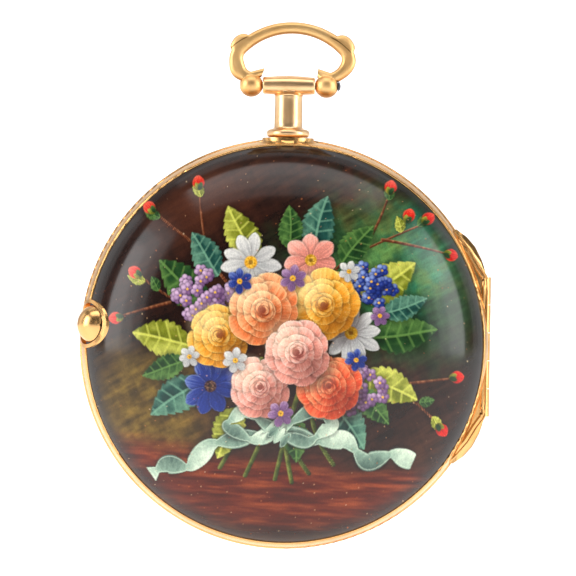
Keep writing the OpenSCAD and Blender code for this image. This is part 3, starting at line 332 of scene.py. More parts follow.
def polished(node, angle=32.0, material=None, weld=1e-6):
    """A merged copy of a CAD node's triangles, smooth but for the edges sharper than the angle;
    it stands for the node and takes its slot's finish."""
    mesh = nodes[node].data.copy()
    mesh.name = node + "_polished"
    merged(mesh, weld, weld / 2)
    mesh.polygons.foreach_set("use_smooth", np.ones(len(mesh.polygons), bool))
    mesh.set_sharp_from_angle(angle=math.radians(angle))
    piece = bpy.data.objects.new(node + "_polished", mesh)
    bpy.context.scene.collection.objects.link(piece)
    mesh.materials.clear()
    mesh.materials.append(material or FINISHES[SLOT_OF[node]])
    even = piece.modifiers.new("even_shading", "WEIGHTED_NORMAL")
    even.keep_sharp = True
    even.weight = 50
    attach(piece, BODY_OF[node])
    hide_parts(node)
    return piece


# ---- the painted back ----

def wall_height(r):
    """Height of the enamel's outer face at radius r: b (1 - (r / a)^n)^(1 / n)."""
    inside = np.clip(1 - (np.asarray(r) / SPLIT_R) ** BACK_POWER, 0, 1)
    return BACK_HEIGHT * inside ** (1 / BACK_POWER)


def wall_normal(r, x, y):
    """Outward direction of that face: x, y over r times the slope (b / a) (r / a)^(n - 1)
    (1 - (r / a)^n)^(1 / n - 1), with one upwards."""
    part = np.maximum(r, 1e-6) / SPLIT_R
    slope = BACK_HEIGHT / SPLIT_R * part ** (BACK_POWER - 1) * \
        (1 - part ** BACK_POWER) ** (1 / BACK_POWER - 1)
    raw = np.stack([x / np.maximum(r, 1e-6) * slope, y / np.maximum(r, 1e-6) * slope, 1 + 0 * r], -1)
    raw /= np.linalg.norm(raw, axis=1)[:, None]
    return np.stack([raw[:, 0], -raw[:, 2], raw[:, 1]], -1)


def linear(rgb):
    """A picture colour given in 0 to 255, as linear light."""
    part = np.asarray(rgb, float) / 255
    return np.where(part <= 0.04045, part / 12.92, ((part + 0.055) / 1.055) ** 2.4)


def cloud(x, y, size, seed, layers=3):
    """Smooth noise between 0 and 1 at points: random heights on a square net of that size, joined
    by s = t t (3 - 2 t), summed over layers of half the size and half the strength."""
    total, weight = 0.0, 0.0
    for k in range(layers):
        net = np.random.default_rng(int(seed * 31) + k).random((64, 64))
        u, v = x / size * 2 ** k + 17.3 * k, y / size * 2 ** k + 5.1 * k
        i, j = np.floor(u).astype(int), np.floor(v).astype(int)
        s, t = u - i, v - j
        s, t = s * s * (3 - 2 * s), t * t * (3 - 2 * t)
        i, j, p, q = i % 64, j % 64, (i + 1) % 64, (j + 1) % 64
        value = (net[i, j] * (1 - s) + net[p, j] * s) * (1 - t) + \
            (net[i, q] * (1 - s) + net[p, q] * s) * t
        total, weight = total + value / 2 ** k, weight + 1 / 2 ** k
    return total / weight


def step(low, high, value):
    """Rises smoothly from 0 at low to 1 at high; high may be the lower one."""
    t = np.clip((value - low) / (high - low), 0, 1)
    return t * t * (3 - 2 * t)


class Picture:
    """The paint on the back: a colour at each bench point x, y, laid on stroke by stroke."""

    def __init__(self, x, y):
        self.x, self.y = x, y
        self.rgb = np.zeros((x.size, 3))

    def near(self, cx, cy, reach):
        """The points within reach of a place, with their offsets from it."""
        some = np.flatnonzero((np.abs(self.x - cx) < reach) & (np.abs(self.y - cy) < reach))
        return some, self.x[some] - cx, self.y[some] - cy

    def lay(self, some, cover, colour):
        """Covers the points' paint with a colour, as far as cover says."""
        cover = np.clip(cover, 0, 1)[:, None]
        self.rgb[some] = self.rgb[some] * (1 - cover) + np.asarray(colour) * cover


def blend3(t, low, mid, high):
    """A colour from three by t: low at 0, mid at a half, high at 1."""
    t = np.clip(t, 0, 1)[:, None]
    low, mid, high = (linear(c) for c in (low, mid, high))
    return np.where(t < 0.5, low + (mid - low) * 2 * t, mid + (high - mid) * (2 * t - 1))


def petal(art, cx, cy, turn, length, width, tones, seed, edge=0.10, cup=0.5, pointed=1.0, wave=0.08):
    """One petal from its root at cx, cy along turn: half width w sin(pi u^p) over its length u,
    waved at its rim, streaked from root to tip, lightest at the rim and on the upper left."""
    some, dx, dy = art.near(cx, cy, length * 1.15 + width)
    c, s = math.cos(turn), math.sin(turn)
    u, v = (dx * c + dy * s) / length, (-dx * s + dy * c) / width
    rim = 1 + wave * (cloud(u * 4 + v * 3, v * 4, 1.0, seed, 2) - 0.5) * 2
    uu = np.clip(u, 0, 1)
    half = np.sin(np.pi * np.clip(uu, 1e-4, 1 - 1e-4) ** pointed) ** 0.62
    inside = half * rim - np.abs(v)
    inside = np.where((u > 0) & (u < 1.0), inside, -1)
    soft = 0.09 / width + 0.03
    cover = step(-soft, soft, inside)
    streak = cloud(v * 5.0, u * 0.9, 0.55, seed + 3, 2) - 0.5
    light = 0.42 + 0.40 * (u - 0.45) * cup * 2 + 0.30 * streak
    light += 0.20 * np.exp(-(inside / edge) ** 2)
    way = (dx * -0.62 + dy * 0.78) / max(length, width)
    light += 0.16 * np.clip(way, -1, 1)
    art.lay(some, step(-0.5, 0.1, inside) * 0.35 * (inside < 0), linear((24, 10, 8)))
    art.lay(some, cover, blend3(light, *tones))


def disc_shade(art, cx, cy, radius, colour, strength, power=2.0):
    """A soft round patch of shade or light, strongest in its middle."""
    some, dx, dy = art.near(cx, cy, radius)
    d = np.hypot(dx, dy) / radius
    art.lay(some, strength * np.clip(1 - d ** power, 0, 1), linear(colour))


PEACH = ((150, 52, 22), (228, 138, 86), (252, 226, 178))
CORAL = ((140, 30, 18), (224, 96, 56), (250, 190, 140))
BLUSH = ((150, 70, 66), (226, 158, 142), (250, 226, 212))
GOLDEN = ((150, 74, 16), (232, 166, 60), (253, 232, 150))
WHITE = ((110, 112, 118), (206, 204, 200), (250, 248, 240))
LILAC = ((70, 44, 84), (146, 112, 150), (222, 196, 218))
BLUE = ((14, 22, 70), (52, 74, 150), (168, 186, 226))
SCARLET = ((96, 10, 8), (214, 42, 26), (252, 140, 110))


def fold(art, cx, cy, turn, radius, tones, seed):
    """The rolled lip of an inner petal: a crescent between two circles, light at its outer rim."""
    some, dx, dy = art.near(cx, cy, radius * 1.3)
    u = (dx * math.cos(turn) + dy * math.sin(turn)) / radius
    outer = 1 - np.hypot(dx, dy) / radius
    inner = np.hypot(dx + 0.42 * radius * math.cos(turn),
                     dy + 0.42 * radius * math.sin(turn)) / radius - 0.86
    lip = np.minimum(outer, inner)
    light = 0.62 + 0.5 * np.clip(u - 0.5, -1, 1) + 0.35 * (cloud(dx, dy, 0.5, seed, 2) - 0.5)
    art.lay(some, step(-0.28, 0.02, lip) * 0.4 * (u > -0.2), linear(tones[0]) * 0.6)
    art.lay(some, step(-0.06, 0.10, lip), blend3(light, *tones))


def rose(art, cx, cy, radius, tones, seed):
    """A full garden rose: rings of broad petals, each ring smaller and turned between the one
    before, round a folded heart whose petals wrap as short arcs."""
    rng = np.random.default_rng(seed)
    disc_shade(art, cx + 0.12 * radius, cy - 0.16 * radius, radius * 1.22, (16, 7, 5), 0.7, 3)
    rings = ((0.30, 0.74, 0.40, 8), (0.16, 0.66, 0.36, 7), (0.06, 0.52, 0.30, 6), (0.0, 0.36, 0.22, 5))
    for k, (root, length, width, count) in enumerate(rings):
        start = rng.random() * 6.3
        order = np.arange(count) * 2 * math.pi / count + start
        order = order[np.argsort(-np.sin(order + 2.4))]
        for i, turn in enumerate(order):
            turn += (rng.random() - 0.5) * 0.25
            px = cx + root * radius * math.cos(turn)
            py = cy + root * radius * math.sin(turn)
            size = 1 + (rng.random() - 0.5) * 0.16
            petal(art, px, py, turn, length * radius * size, width * radius * size, tones,
                  seed * 7 + 11 * k + i, pointed=1.7, cup=0.6 + 0.12 * k)
        disc_shade(art, cx + 0.03 * radius, cy - 0.05 * radius, radius * (0.50 - 0.11 * k),
                   tones[0], 0.62, 1.6)
    disc_shade(art, cx + 0.02 * radius, cy + 0.05 * radius, radius * 0.30, tones[0], 0.85, 2.0)
    for k in range(9):
        turn, off = rng.random() * 6.3 if k > 5 else k * 1.05 + seed, 0.17 - 0.017 * k
        fold(art, cx + off * radius * math.cos(turn), cy + off * radius * (math.sin(turn) + 0.15),
             turn, radius * (0.20 - 0.012 * k), tones, seed + k)
    disc_shade(art, cx - 0.40 * radius, cy + 0.42 * radius, radius * 0.75, (255, 240, 206), 0.30, 1.4)
    disc_shade(art, cx + 0.50 * radius, cy - 0.52 * radius, radius * 0.85, (70, 14, 8), 0.50, 1.4)


def star_flower(art, cx, cy, radius, count, tones, heart, seed, slim=0.30, squash=1.0):
    """An open flower of single petals round a stippled heart."""
    rng = np.random.default_rng(seed)
    disc_shade(art, cx + 0.1 * radius, cy - 0.14 * radius, radius * 1.15, (14, 8, 6), 0.6, 3)
    for i in range(count):
        turn = 2 * math.pi * i / count + rng.random() * 0.22 + seed
        long = radius * (0.93 + 0.14 * rng.random())
        petal(art, cx + 0.10 * radius * math.cos(turn), cy + 0.10 * radius * math.sin(turn), turn,
              long * (1 - (1 - squash) * abs(math.sin(turn))), slim * radius, tones, seed * 5 + i,
              pointed=1.35, cup=0.35)
    some, dx, dy = art.near(cx, cy, radius * 0.34)
    d = np.hypot(dx, dy) / radius
    dots = cloud(dx, dy, 0.16, seed + 9, 1)
    art.lay(some, step(0.27, 0.21, d), blend3(0.35 + 0.5 * dots - 0.9 * (d - 0.1), *heart))
    art.lay(some, step(0.12, 0.05, d) * 0.7, linear(heart[0]))


def floret(art, cx, cy, radius, tones, seed):
    """A small blossom of five round petals with a yellow eye."""
    some, dx, dy = art.near(cx, cy, radius * 1.25)
    d, turn = np.hypot(dx, dy) / radius, np.arctan2(dy, dx) + seed
    lobe = 0.72 + 0.28 * np.abs(np.cos(2.5 * turn)) ** 0.7
    cover = step(0.08, -0.06, d - lobe)
    art.lay(some, step(0.36, 0.0, d - lobe) * 0.4, linear((18, 10, 14)))
    light = 0.62 + 0.26 * (dy - dx) / radius - 0.5 * np.abs(d - 0.62) \
        + 0.25 * np.abs(np.cos(2.5 * turn)) - 0.12
    art.lay(some, cover, blend3(light, *tones))
    art.lay(some, step(0.24, 0.12, d), linear((236, 196, 70)))


def leaf(art, cx, cy, turn, length, width, tones, seed, teeth=9):
    """A toothed leaf from its stalk: half width sin(pi u^0.8) with a saw edge, a pale midrib and
    side veins that lean to the tip, one half lighter than the other."""
    some, dx, dy = art.near(cx, cy, length * 1.1 + width)
    c, s = math.cos(turn), math.sin(turn)
    u, v = (dx * c + dy * s) / length, (-dx * s + dy * c) / width
    v = v - 0.18 * np.sin(u * 2.6 + seed)
    uu = np.clip(u, 1e-4, 1 - 1e-4)
    saw = np.abs(((uu * teeth + 0.2 * np.abs(v)) % 1) - 0.25) * 0.22
    half = np.sin(np.pi * uu ** 0.78) ** 0.85 * (1 - saw)
    inside = np.where((u > 0) & (u < 1), half - np.abs(v), -1)
    soft = 0.06 / width + 0.02
    art.lay(some, step(-0.45, 0.0, inside) * 0.35 * (inside < 0), linear((14, 10, 6)))
    side = np.where(v > 0, 0.62, 0.38)
    brush = cloud(u * 6, v * 2.2, 0.8, seed, 2) - 0.5
    light = side + 0.55 * brush + 0.22 * np.abs(v) / np.maximum(half, 0.05)
    art.lay(some, step(-soft, soft, inside), blend3(light, *tones))
    vein = np.abs(((uu * teeth * 0.62 - 0.72 * np.abs(v)) % 1) - 0.5)
    pale = linear(tones[2]) * 1.12
    art.lay(some, step(0.16, 0.03, 0.5 - vein) * (inside > 0.05) * 0.55, pale)
    art.lay(some, step(0.10, 0.02, np.abs(v)) * (inside > 0) * 0.85, pale)


VINE = ((58, 66, 18), (134, 140, 48), (206, 206, 110))
MOSS = ((16, 34, 18), (46, 84, 46), (112, 146, 82))
BLUEGREEN = ((14, 40, 40), (44, 92, 84), (124, 164, 140))


def stroke(art, points, width, tones, seed, taper=1.0):
    """A brush line through points, as a smooth curve (each pair joined by a quadratic through the
    middles), its width falling to the tip, lighter along its upper side."""
    p = np.asarray(points, float)
    t = np.linspace(0, 1, 110)[:, None]
    mids = np.concatenate([p[:1], (p[1:-2] + p[2:-1]) / 2, p[-1:]]) if len(p) > 3 else p[[0, -1]]
    line = []
    for k in range(len(mids) - 1):
        a, b, c = mids[k], p[k + 1] if len(p) > 2 else (p[0] + p[1]) / 2, mids[k + 1]
        line.append((1 - t) ** 2 * a + 2 * t * (1 - t) * b + t ** 2 * c)
    line = np.concatenate(line)
    low, high = line.min(0) - 3 * width, line.max(0) + 3 * width
    some = np.flatnonzero((art.x > low[0]) & (art.x < high[0]) & (art.y > low[1]) & (art.y < high[1]))
    gap = (art.x[some, None] - line[None, :, 0]) ** 2 + (art.y[some, None] - line[None, :, 1]) ** 2
    best = gap.argmin(1)
    d = np.sqrt(gap[np.arange(len(some)), best])
    at = best / (len(line) - 1)
    half = width * (1 - 0.55 * taper * at)
    up = np.sign((art.y[some] - line[best, 1]) - (art.x[some] - line[best, 0]))
    light = 0.45 + 0.3 * up * d / half + 0.5 * (cloud(at * 24, d, 1, seed, 2) - 0.5)
    art.lay(some, step(half + 0.09, half - 0.06, d), blend3(light, *tones))


def ribbon(art, points, width, tones, seed):
    """A silk ribbon along a curve through points: its width and light swing with its folds."""
    p = np.asarray(points, float)
    knots = np.linspace(0, 1, len(p))
    t = np.linspace(0, 1, 160)
    line = np.stack([np.interp(t, knots, p[:, k]) for k in (0, 1)], -1)
    kernel = np.hanning(25) / np.hanning(25).sum()
    line = np.stack([np.convolve(np.pad(line[:, k], 12, mode="edge"), kernel, "valid") for k in (0, 1)], -1)
    some = np.flatnonzero((art.x > line[:, 0].min() - width) & (art.x < line[:, 0].max() + width)
                          & (art.y > line[:, 1].min() - width) & (art.y < line[:, 1].max() + width))
    gap = (art.x[some, None] - line[None, :, 0]) ** 2 + (art.y[some, None] - line[None, :, 1]) ** 2
    best = gap.argmin(1)
    d = np.sqrt(gap[np.arange(len(some)), best])
    at = t[best]
    way = np.gradient(line, axis=0)
    way /= np.linalg.norm(way, axis=1)[:, None] + 1e-9
    across = (art.x[some] - line[best, 0]) * -way[best, 1] + (art.y[some] - line[best, 1]) * way[best, 0]
    twist = np.cos(at * 11 + seed)
    half = width * (0.34 + 0.66 * np.abs(twist))
    light = 0.52 + 0.34 * twist + 0.22 * across / width + 0.3 * (cloud(at * 60, across * 2, 1.2, seed,
                                                                       2) - 0.5)
    ends = step(0.0, 0.02, at) * step(1.0, 0.985, at)
    art.lay(some, step(half * 1.7, half, d) * 0.45 * ends, linear((14, 9, 6)))
    art.lay(some, step(half + 0.06, half - 0.05, d) * ends, blend3(light, *tones))
    art.lay(some, step(0.10, 0.03, np.abs(d - half * 0.84)) * 0.5 * ends, linear(tones[2]))


def ground(art):
    """The dark ground: warm brown thinning to umber, a green haze to the right, olive low on the
    left and russet earth below, brushed in with clouds of several sizes."""
    x, y = art.x, art.y
    every = np.arange(x.size)
    r = np.hypot(x, y)
    big, mid, fine = cloud(x, y, 14, 1), cloud(x, y, 4.5, 2), cloud(x, y, 1.3, 3)
    art.rgb[:] = blend3(0.15 + 0.75 * big + 0.35 * (mid - 0.5) + 0.14 * (fine - 0.5),
                        (28, 13, 9), (62, 36, 25), (104, 66, 44))
    haze = step(15.5, 4.5, np.hypot((x - 13.5) * 0.9, y - 9.5) + 9 * (mid - 0.5) + 5 * (fine - 0.5))
    art.lay(every, 0.86 * haze, blend3(0.1 + 0.8 * mid + 0.5 * (fine - 0.5),
                                       (28, 54, 34), (66, 116, 74), (134, 172, 100)))
    teal = step(6.5, 1.0, np.hypot(x - 17.5, (y - 12.5) * 0.8) + 6 * (fine - 0.5) + 4 * (mid - 0.5))
    art.lay(every, 0.55 * teal, linear((62, 136, 112)))
    olive = step(13, 3, np.hypot(x + 17, (y + 8.5) * 1.1) + 8 * (mid - 0.5) + 4 * (fine - 0.5))
    art.lay(every, 0.75 * olive, blend3(0.2 + 0.7 * fine, (56, 44, 18), (120, 98, 40), (180, 152, 70)))
    brushed = cloud(0.45 * x + 0.25 * y, 2.6 * y - 1.5 * x, 1.6, 8, 3) - 0.5
    crossed = cloud(2.2 * x + 1.0 * y, 0.4 * y - 0.2 * x, 1.9, 9, 3) - 0.5
    art.rgb *= (1 + 1.1 * brushed + 0.6 * crossed)[:, None].clip(0.35, 1.9)
    sweep = cloud(x * 0.25 + 3, y * 2.0 + 0.05 * x, 1.0, 7, 3)
    low = step(-13.2, -17.0, y + 0.09 * x + 2.2 * (mid - 0.5))
    art.lay(every, low, blend3(0.1 + 0.85 * sweep, (44, 14, 8), (112, 46, 24), (182, 100, 54)))
    art.lay(every, 0.5 * step(-21.5, -25.0, y), linear((30, 10, 7)))
    top = step(7, 1, np.hypot((x + 12) * 0.6, y - 19) + 5 * (mid - 0.5))
    art.lay(every, 0.35 * top, linear((120, 70, 46)))
    art.lay(every, 0.75 * step(23.6, 25.8, r), linear((26, 10, 8)))


# Where the bouquet's parts lie: bench millimetres, and radians from the hinge's side
STALK = ((40, 44, 18), (92, 104, 44), (170, 176, 96))
TWIG = ((60, 30, 18), (126, 74, 46), (206, 150, 110))
MINT = ((92, 116, 106), (154, 178, 160), (216, 228, 208))
YELLOW_HEART = ((120, 70, 16), (222, 170, 40), (252, 228, 120))
STEMS = (((-3, -2), (-3.6, -8), (-8.2, -16.2)), ((1, -3), (-1.2, -9), (-4.9, -17.2)),
         ((3, -3), (0.8, -9), (-1.0, -17.6)), ((-1, -3), (-2.2, -9.5), (3.4, -16.8)),
         ((5, -4), (1.6, -9), (6.6, -15.6)), ((0, -4), (-0.6, -10), (1.2, -18.0)))
TWIGS = (((2, 4), (6, 10), (11, 13), (17.5, 15.8)), ((9.5, 11.6), (12, 15.5), (13.2, 19.4)),
         ((12.5, 13.8), (16.5, 13.2), (20.6, 12.2)), ((-4, 4), (-9, 9), (-11, 14), (-11.4, 19.6)),
         ((-10.6, 12), (-13.8, 14), (-16.8, 16.6)), ((-6, 2), (-13, 4), (-18.5, 8.2)),
         ((-15, 5.2), (-18, 4.4), (-21.2, 3.4)), ((8, -2), (14, -4), (19.6, -9.6)),
         ((15.5, -5.0), (18.4, -4.6), (21.6, -4.2)))
# Each leaf's stalk end, direction, length, half width and tones
LEAVES = ((9.5, 6.5, 0.55, 8.6, 2.7, VINE), (11.5, 1.5, 0.05, 8.4, 2.5, MOSS),
          (10, -3.5, -0.5, 8.2, 2.5, VINE), (6, -7.5, -0.95, 7.6, 2.3, BLUEGREEN),
          (-10, 5.5, 2.5, 8.4, 2.6, MOSS), (-12, 0, 3.05, 8.0, 2.6, VINE),
          (-10.5, -5, 3.75, 8.2, 2.5, BLUEGREEN), (-5.5, -8.5, 4.25, 7.2, 2.2, VINE),
          (-4.5, 11, 1.95, 7.6, 2.3, VINE), (3.5, 12, 1.3, 7.6, 2.3, BLUEGREEN),
          (7.5, 10.5, 0.95, 6.4, 2.0, MOSS), (-8.5, 9, 2.25, 6.6, 2.1, BLUEGREEN),
          (0.5, 12.5, 1.65, 5.6, 1.7, MOSS), (12.6, 4.4, 0.3, 6.2, 1.7, BLUEGREEN),
          (-12.8, -2.6, 3.4, 6.0, 1.7, MOSS), (1.0, -9.0, -1.5, 6.4, 1.9, MOSS),
          (9.2, -6.0, -0.75, 6.2, 1.8, MOSS))
# Each small leaf's stalk end, direction and length
SMALL_LEAVES = ((17.2, 15.6, 0.8, 2.6), (15.0, 14.8, 1.9, 2.2), (13.2, 19.0, 1.5, 2.2),
                (-11.4, 19.0, 1.8, 2.4), (-16.6, 16.2, 2.6, 2.4), (-18.3, 8.0, 2.9, 2.5),
                (-16.4, 6.8, 2.2, 2.1), (19.4, -9.2, -0.9, 2.4), (17.6, -7.2, 0.1, 2.1))
# Each spray's middle, number of florets, half width and tones
SPRAYS = ((-10.6, 6.2, 34, 3.9, LILAC), (11.2, 8.2, 26, 3.2, BLUE), (9.6, -5.6, 30, 3.5, LILAC))
# Each bud's middle and direction
BUDS = ((18.4, 16.6, 0.7), (13.5, 20.6, 1.4), (21.4, 12.0, -0.2), (-11.6, 20.8, 1.7),
        (-17.9, 17.5, 2.4), (-19.6, 9.0, 2.6), (-22.0, 3.1, 3.3), (20.6, -10.8, -0.9),
        (22.4, -4.0, 0.1), (15.9, 16.9, 1.2))
# Each ribbon's path, half width and fold phase
RIBBONS = ((((-2.2, -11.6), (-6.2, -12.4), (-9.6, -13.2), (-12.2, -16.4), (-15.2, -15.8), (-17.4, -17.4)),
            1.25, 1.0),
           (((0.2, -11.6), (4.4, -12.6), (8.2, -12.2), (10.8, -15.4), (14.2, -14.0), (17.2, -15.2)),
            1.25, 2.4),
           (((-0.8, -11.4), (-5.2, -8.6), (-7.6, -10.6), (-4.2, -12.6), (-0.8, -11.6)), 0.95, 3.0),
           (((-0.8, -11.4), (3.6, -8.4), (6.6, -10.2), (3.2, -12.8), (-0.8, -11.6)), 0.95, 0.4),
           (((-2.0, -10.6), (-0.8, -11.7), (0.6, -12.7)), 1.2, 6.0))
# Each open flower's middle, radius, petals, tones, heart, seed and slimness
OPEN_FLOWERS = ((-4.6, 10.6, 3.5, 9, WHITE, YELLOW_HEART, 11, 0.24),
                (8.6, 1.6, 3.6, 10, WHITE, YELLOW_HEART, 12, 0.22),
                (-9.6, -5.6, 3.3, 8, BLUE, ((20, 10, 14), (70, 40, 50), (190, 150, 110)), 13, 0.30),
                (3.2, 11.0, 3.2, 7, BLUSH, ((90, 50, 16), (206, 160, 50), (250, 222, 130)), 14, 0.34))
# Each rose's middle, radius, tones and seed, the hindmost first
ROSES = ((-8.6, 1.0, 4.0, GOLDEN, 31), (5.8, -5.4, 4.1, CORAL, 32), (-3.2, -5.6, 3.9, BLUSH, 33),
         (4.9, 5.2, 4.5, GOLDEN, 34), (-2.9, 4.4, 4.6, PEACH, 35), (1.6, -1.0, 4.2, BLUSH, 36))
# Each small flower's middle, radius and tones
SMALL_FLOWERS = ((-6.0, 8.1, 1.5, BLUE), (0.9, 8.6, 1.6, LILAC), (8.2, 9.6, 1.3, WHITE),
                 (-6.4, -2.2, 1.5, WHITE), (9.3, -1.9, 1.3, BLUE), (-0.4, -9.0, 1.6, LILAC),
                 (-12.4, -1.8, 1.3, WHITE), (12.3, 3.9, 1.2, LILAC))


def bouquet(art):
    """Garden flowers tied with a mint ribbon: stems below, leaves round the edge, small blossom
    behind, and the large heads in front."""
    for k, line in enumerate(STEMS):
        stroke(art, line, 0.30, STALK, 20 + k, 0.2)
    for k, line in enumerate(TWIGS):
        stroke(art, line, 0.20, TWIG, 40 + k, 0.8)
    for k, (cx, cy, turn, long, wide, tones) in enumerate(LEAVES):
        leaf(art, cx, cy, turn, long, wide, tones, 60 + k)
    for k, (cx, cy, turn, long) in enumerate(SMALL_LEAVES):
        leaf(art, cx, cy, turn, long, 0.75, VINE if k % 2 else MOSS, 90 + k, 5)
    rng = np.random.default_rng(5)
    for cx, cy, count, wide, tones in SPRAYS:
        turns = rng.random(count) * 2 * np.pi
        reach = np.sqrt(rng.random(count)) * wide
        for k in np.argsort(-reach):
            floret(art, cx + reach[k] * math.cos(turns[k]), cy + reach[k] * math.sin(turns[k]) * 0.86,
                   0.86, tones, 100 + k)
    for k, (cx, cy, turn) in enumerate(BUDS):
        foot_x, foot_y = cx - 0.9 * math.cos(turn), cy - 0.9 * math.sin(turn)
        petal(art, foot_x, foot_y, turn, 2.0, 0.78, SCARLET, 140 + k, pointed=1.1)
        petal(art, foot_x, foot_y, turn + 0.35, 1.1, 0.34, VINE, 150 + k)
        petal(art, foot_x, foot_y, turn - 0.35, 1.1, 0.34, MOSS, 160 + k)
    for line, width, phase in RIBBONS:
        ribbon(art, line, width, MINT, phase)
    for one in OPEN_FLOWERS:
        star_flower(art, *one)
    for one in ROSES:
        rose(art, *one)
    for k, (cx, cy, size, tones) in enumerate(SMALL_FLOWERS):
        star_flower(art, cx, cy, size, 6, tones, YELLOW_HEART, 170 + k, 0.34)


def flecks(art):
    """Stray flecks of colour from the firing, over everything: at most one in each square cell,
    a soft dot of radius R about its own middle, orange to cream."""
    cell, count = 1.15, 52
    rng = np.random.default_rng(77)
    at = 0.12 + 0.76 * rng.random((2, count, count))
    radius = 0.015 + 0.075 * rng.random((count, count)) ** 3
    there = rng.random((count, count)) < 0.27
    tone = rng.random((count, count))
    i = np.floor(art.x / cell).astype(int) + count // 2
    j = np.floor(art.y / cell).astype(int) + count // 2
    d = cell * np.hypot(art.x / cell - (i - count // 2) - at[0][i, j],
                        art.y / cell - (j - count // 2) - at[1][i, j])
    strength = step(radius[i, j] + 0.05, radius[i, j] * 0.5, d) * there[i, j] * 0.62
    some = np.flatnonzero(strength > 0.01)
    art.lay(some, strength[some], blend3(tone[i, j][some], (176, 84, 36), (214, 140, 84), (246, 226, 190)))


def enamel_face():
    """The painted face: bands of rings from the crown to the gold setting, close enough for the
    brushwork, the crown's middle joined to one point, and their shading from the wall's slope."""
    bands = (("painted_crown", 0.0, 9.0, 84, 520), ("painted_field", 9.0, 15.0, 56, 880),
             ("painted_shoulder", 15.0, 20.6, 54, 1180), ("painted_border", 20.6, ENAMEL_R, 56, 1480))
    made = []
    for name, low, high, rings, segments in bands:
        turn = np.linspace(0, 2 * np.pi, segments, endpoint=False)
        r = (np.linspace(low, high, rings)[:, None] + 0 * turn).ravel()
        turn = np.tile(turn, rings)
        x, y = r * np.cos(turn), r * np.sin(turn)
        art = Picture(x, y)
        ground(art)
        bouquet(art)
        flecks(art)
        art.rgb = PAINT_DEPTH * np.clip(art.rgb, 0, 1) ** PAINT_CONTRAST
        points = hang(x, y, wall_height(r))
        quads = grid_faces(rings, segments, True, flip=True)
        piece = finish_mesh(name, points, quads, "case", ENAMEL,
                            ("enamel_back",), art.rgb)
        merged(piece.data, SAME_PLACE)
        at = np.empty(3 * len(piece.data.vertices))
        piece.data.vertices.foreach_get("co", at)
        x, y = at[0::3] / MM, at[2::3] / MM + HANG_Y
        piece.data.normals_split_custom_set_from_vertices(wall_normal(np.hypot(x, y), x, y))
        made.append(piece)
    return made


enamel_face()


# ---- gold work laid over the case ----

def hinge_plate():
    """The bevelled top of the hinge's plate: its outline carried through a section of
    (height, inset) steps, each point moved inwards along the outline's mean normal."""
    half = 15.4
    upper = np.array([(21.95, half - 0.12), (22.9, half - 1.05), (24.3, half - 2.7), (25.5, half - 4.7),
                      (26.35, 9.5), (26.62, 8.9)])
    corners = np.concatenate([upper, upper[::-1] * [1, -1]])
    t = np.linspace(0, len(corners) - 1, 12 * (len(corners) - 1) + 1)
    line = np.stack([np.interp(t, np.arange(len(corners)), corners[:, k]) for k in (0, 1)], -1)
    way = np.gradient(line, axis=0)
    way /= np.linalg.norm(way, axis=1)[:, None]
    inward = np.stack([way[:, 1], -way[:, 0]], -1)
    inward *= np.sign((inward * -line).sum(1).mean())
    section = ((1.05, 0.02), (1.66, 0.0), (1.76, 0.03), (1.80, 0.10), (1.79, 0.24), (1.70, 0.34),
               (1.69, 0.42), (1.78, 0.52), (1.79, 0.60), (1.79, 0.85), (1.3, 0.85))
    rings = [hang(*(line + inward * inset).T, height + 0 * t) for height, inset in section]
    count = len(line)
    points = np.concatenate(rings)
    quads = grid_faces(len(rings), count, False)
    a, b, c = (points[quads[len(quads) // 2, k]] for k in range(3))
    if np.cross(b - a, c - b)[1] > 0:
        quads = quads[:, ::-1]
    return finish_mesh("hinge_plate_rim", points, quads, "case", GOLD)


hinge_plate()

# Pieces whose edges are kept sharp from a smaller angle on, and pieces with a gold of their own
CRISP = ("watch_glass", "bow", "outer_back_shell", "outer_bezel")
OWN_GOLD = {"bow": BOW_GOLD, "pendant": NECK_GOLD}

for node in SLOT_OF:
    if node != "enamel_back":
        polished(node, 20.0 if node in CRISP else 32.0, OWN_GOLD.get(node))


# ---- the dial's figures ----

# Widths of the strokes, and radii and heights of the figures and rings, in millimetres
SERIF = 0.13
STEM = 0.62
HAIR = 0.19
HOUR_R, HOUR_HEIGHT = 13.6, 3.3
RING_R, OUTER_RING_R = 15.9, 16.8
MINUTE_FIGURE_R, MINUTE_FIGURE = 18.0, 1.15
FIGURE_RISE = 0.025


def roman(hour, height):
    """Strokes of an hour's numeral as (two ends, width), centred, u to the right and v upwards:
    I is one thick stem, V and X a thick and a thin slant, each end with a fine serif."""
    text = ("I", "II", "III", "IIII", "V", "VI", "VII", "VIII", "IX", "X", "XI", "XII")[hour - 1]
    room = {"I": 1.02, "V": 2.05, "X": 2.15}
    at, strokes, h = -sum(room[c] for c in text) / 2, [], height / 2
    for c in text:
        m = at + room[c] / 2
        if c == "I":
            strokes.append(((m, -h), (m, h), STEM))
            ends = ((m, -h), (m, h))
        elif c == "V":
            strokes += [((m - 0.68, h), (m, -h), STEM), ((m + 0.68, h), (m, -h), HAIR)]
            ends = ((m - 0.68, h), (m + 0.68, h))
        else:
            strokes += [((m - 0.72, h), (m + 0.72, -h), STEM), ((m + 0.72, h), (m - 0.72, -h), HAIR)]
            ends = ((m - 0.72, -h), (m + 0.72, -h), (m - 0.72, h), (m + 0.72, h))
        strokes += [((u - 0.46, v), (u + 0.46, v), SERIF) for u, v in ends]
        at += room[c]
    return strokes


def arc(cu, cv, ru, rv, start, end, count=12):
    """Points (cu + ru cos t, cv + rv sin t) from one angle in degrees to another."""
    t = np.radians(np.linspace(start, end, count))
    return np.stack([cu + ru * np.cos(t), cv + rv * np.sin(t)], -1)


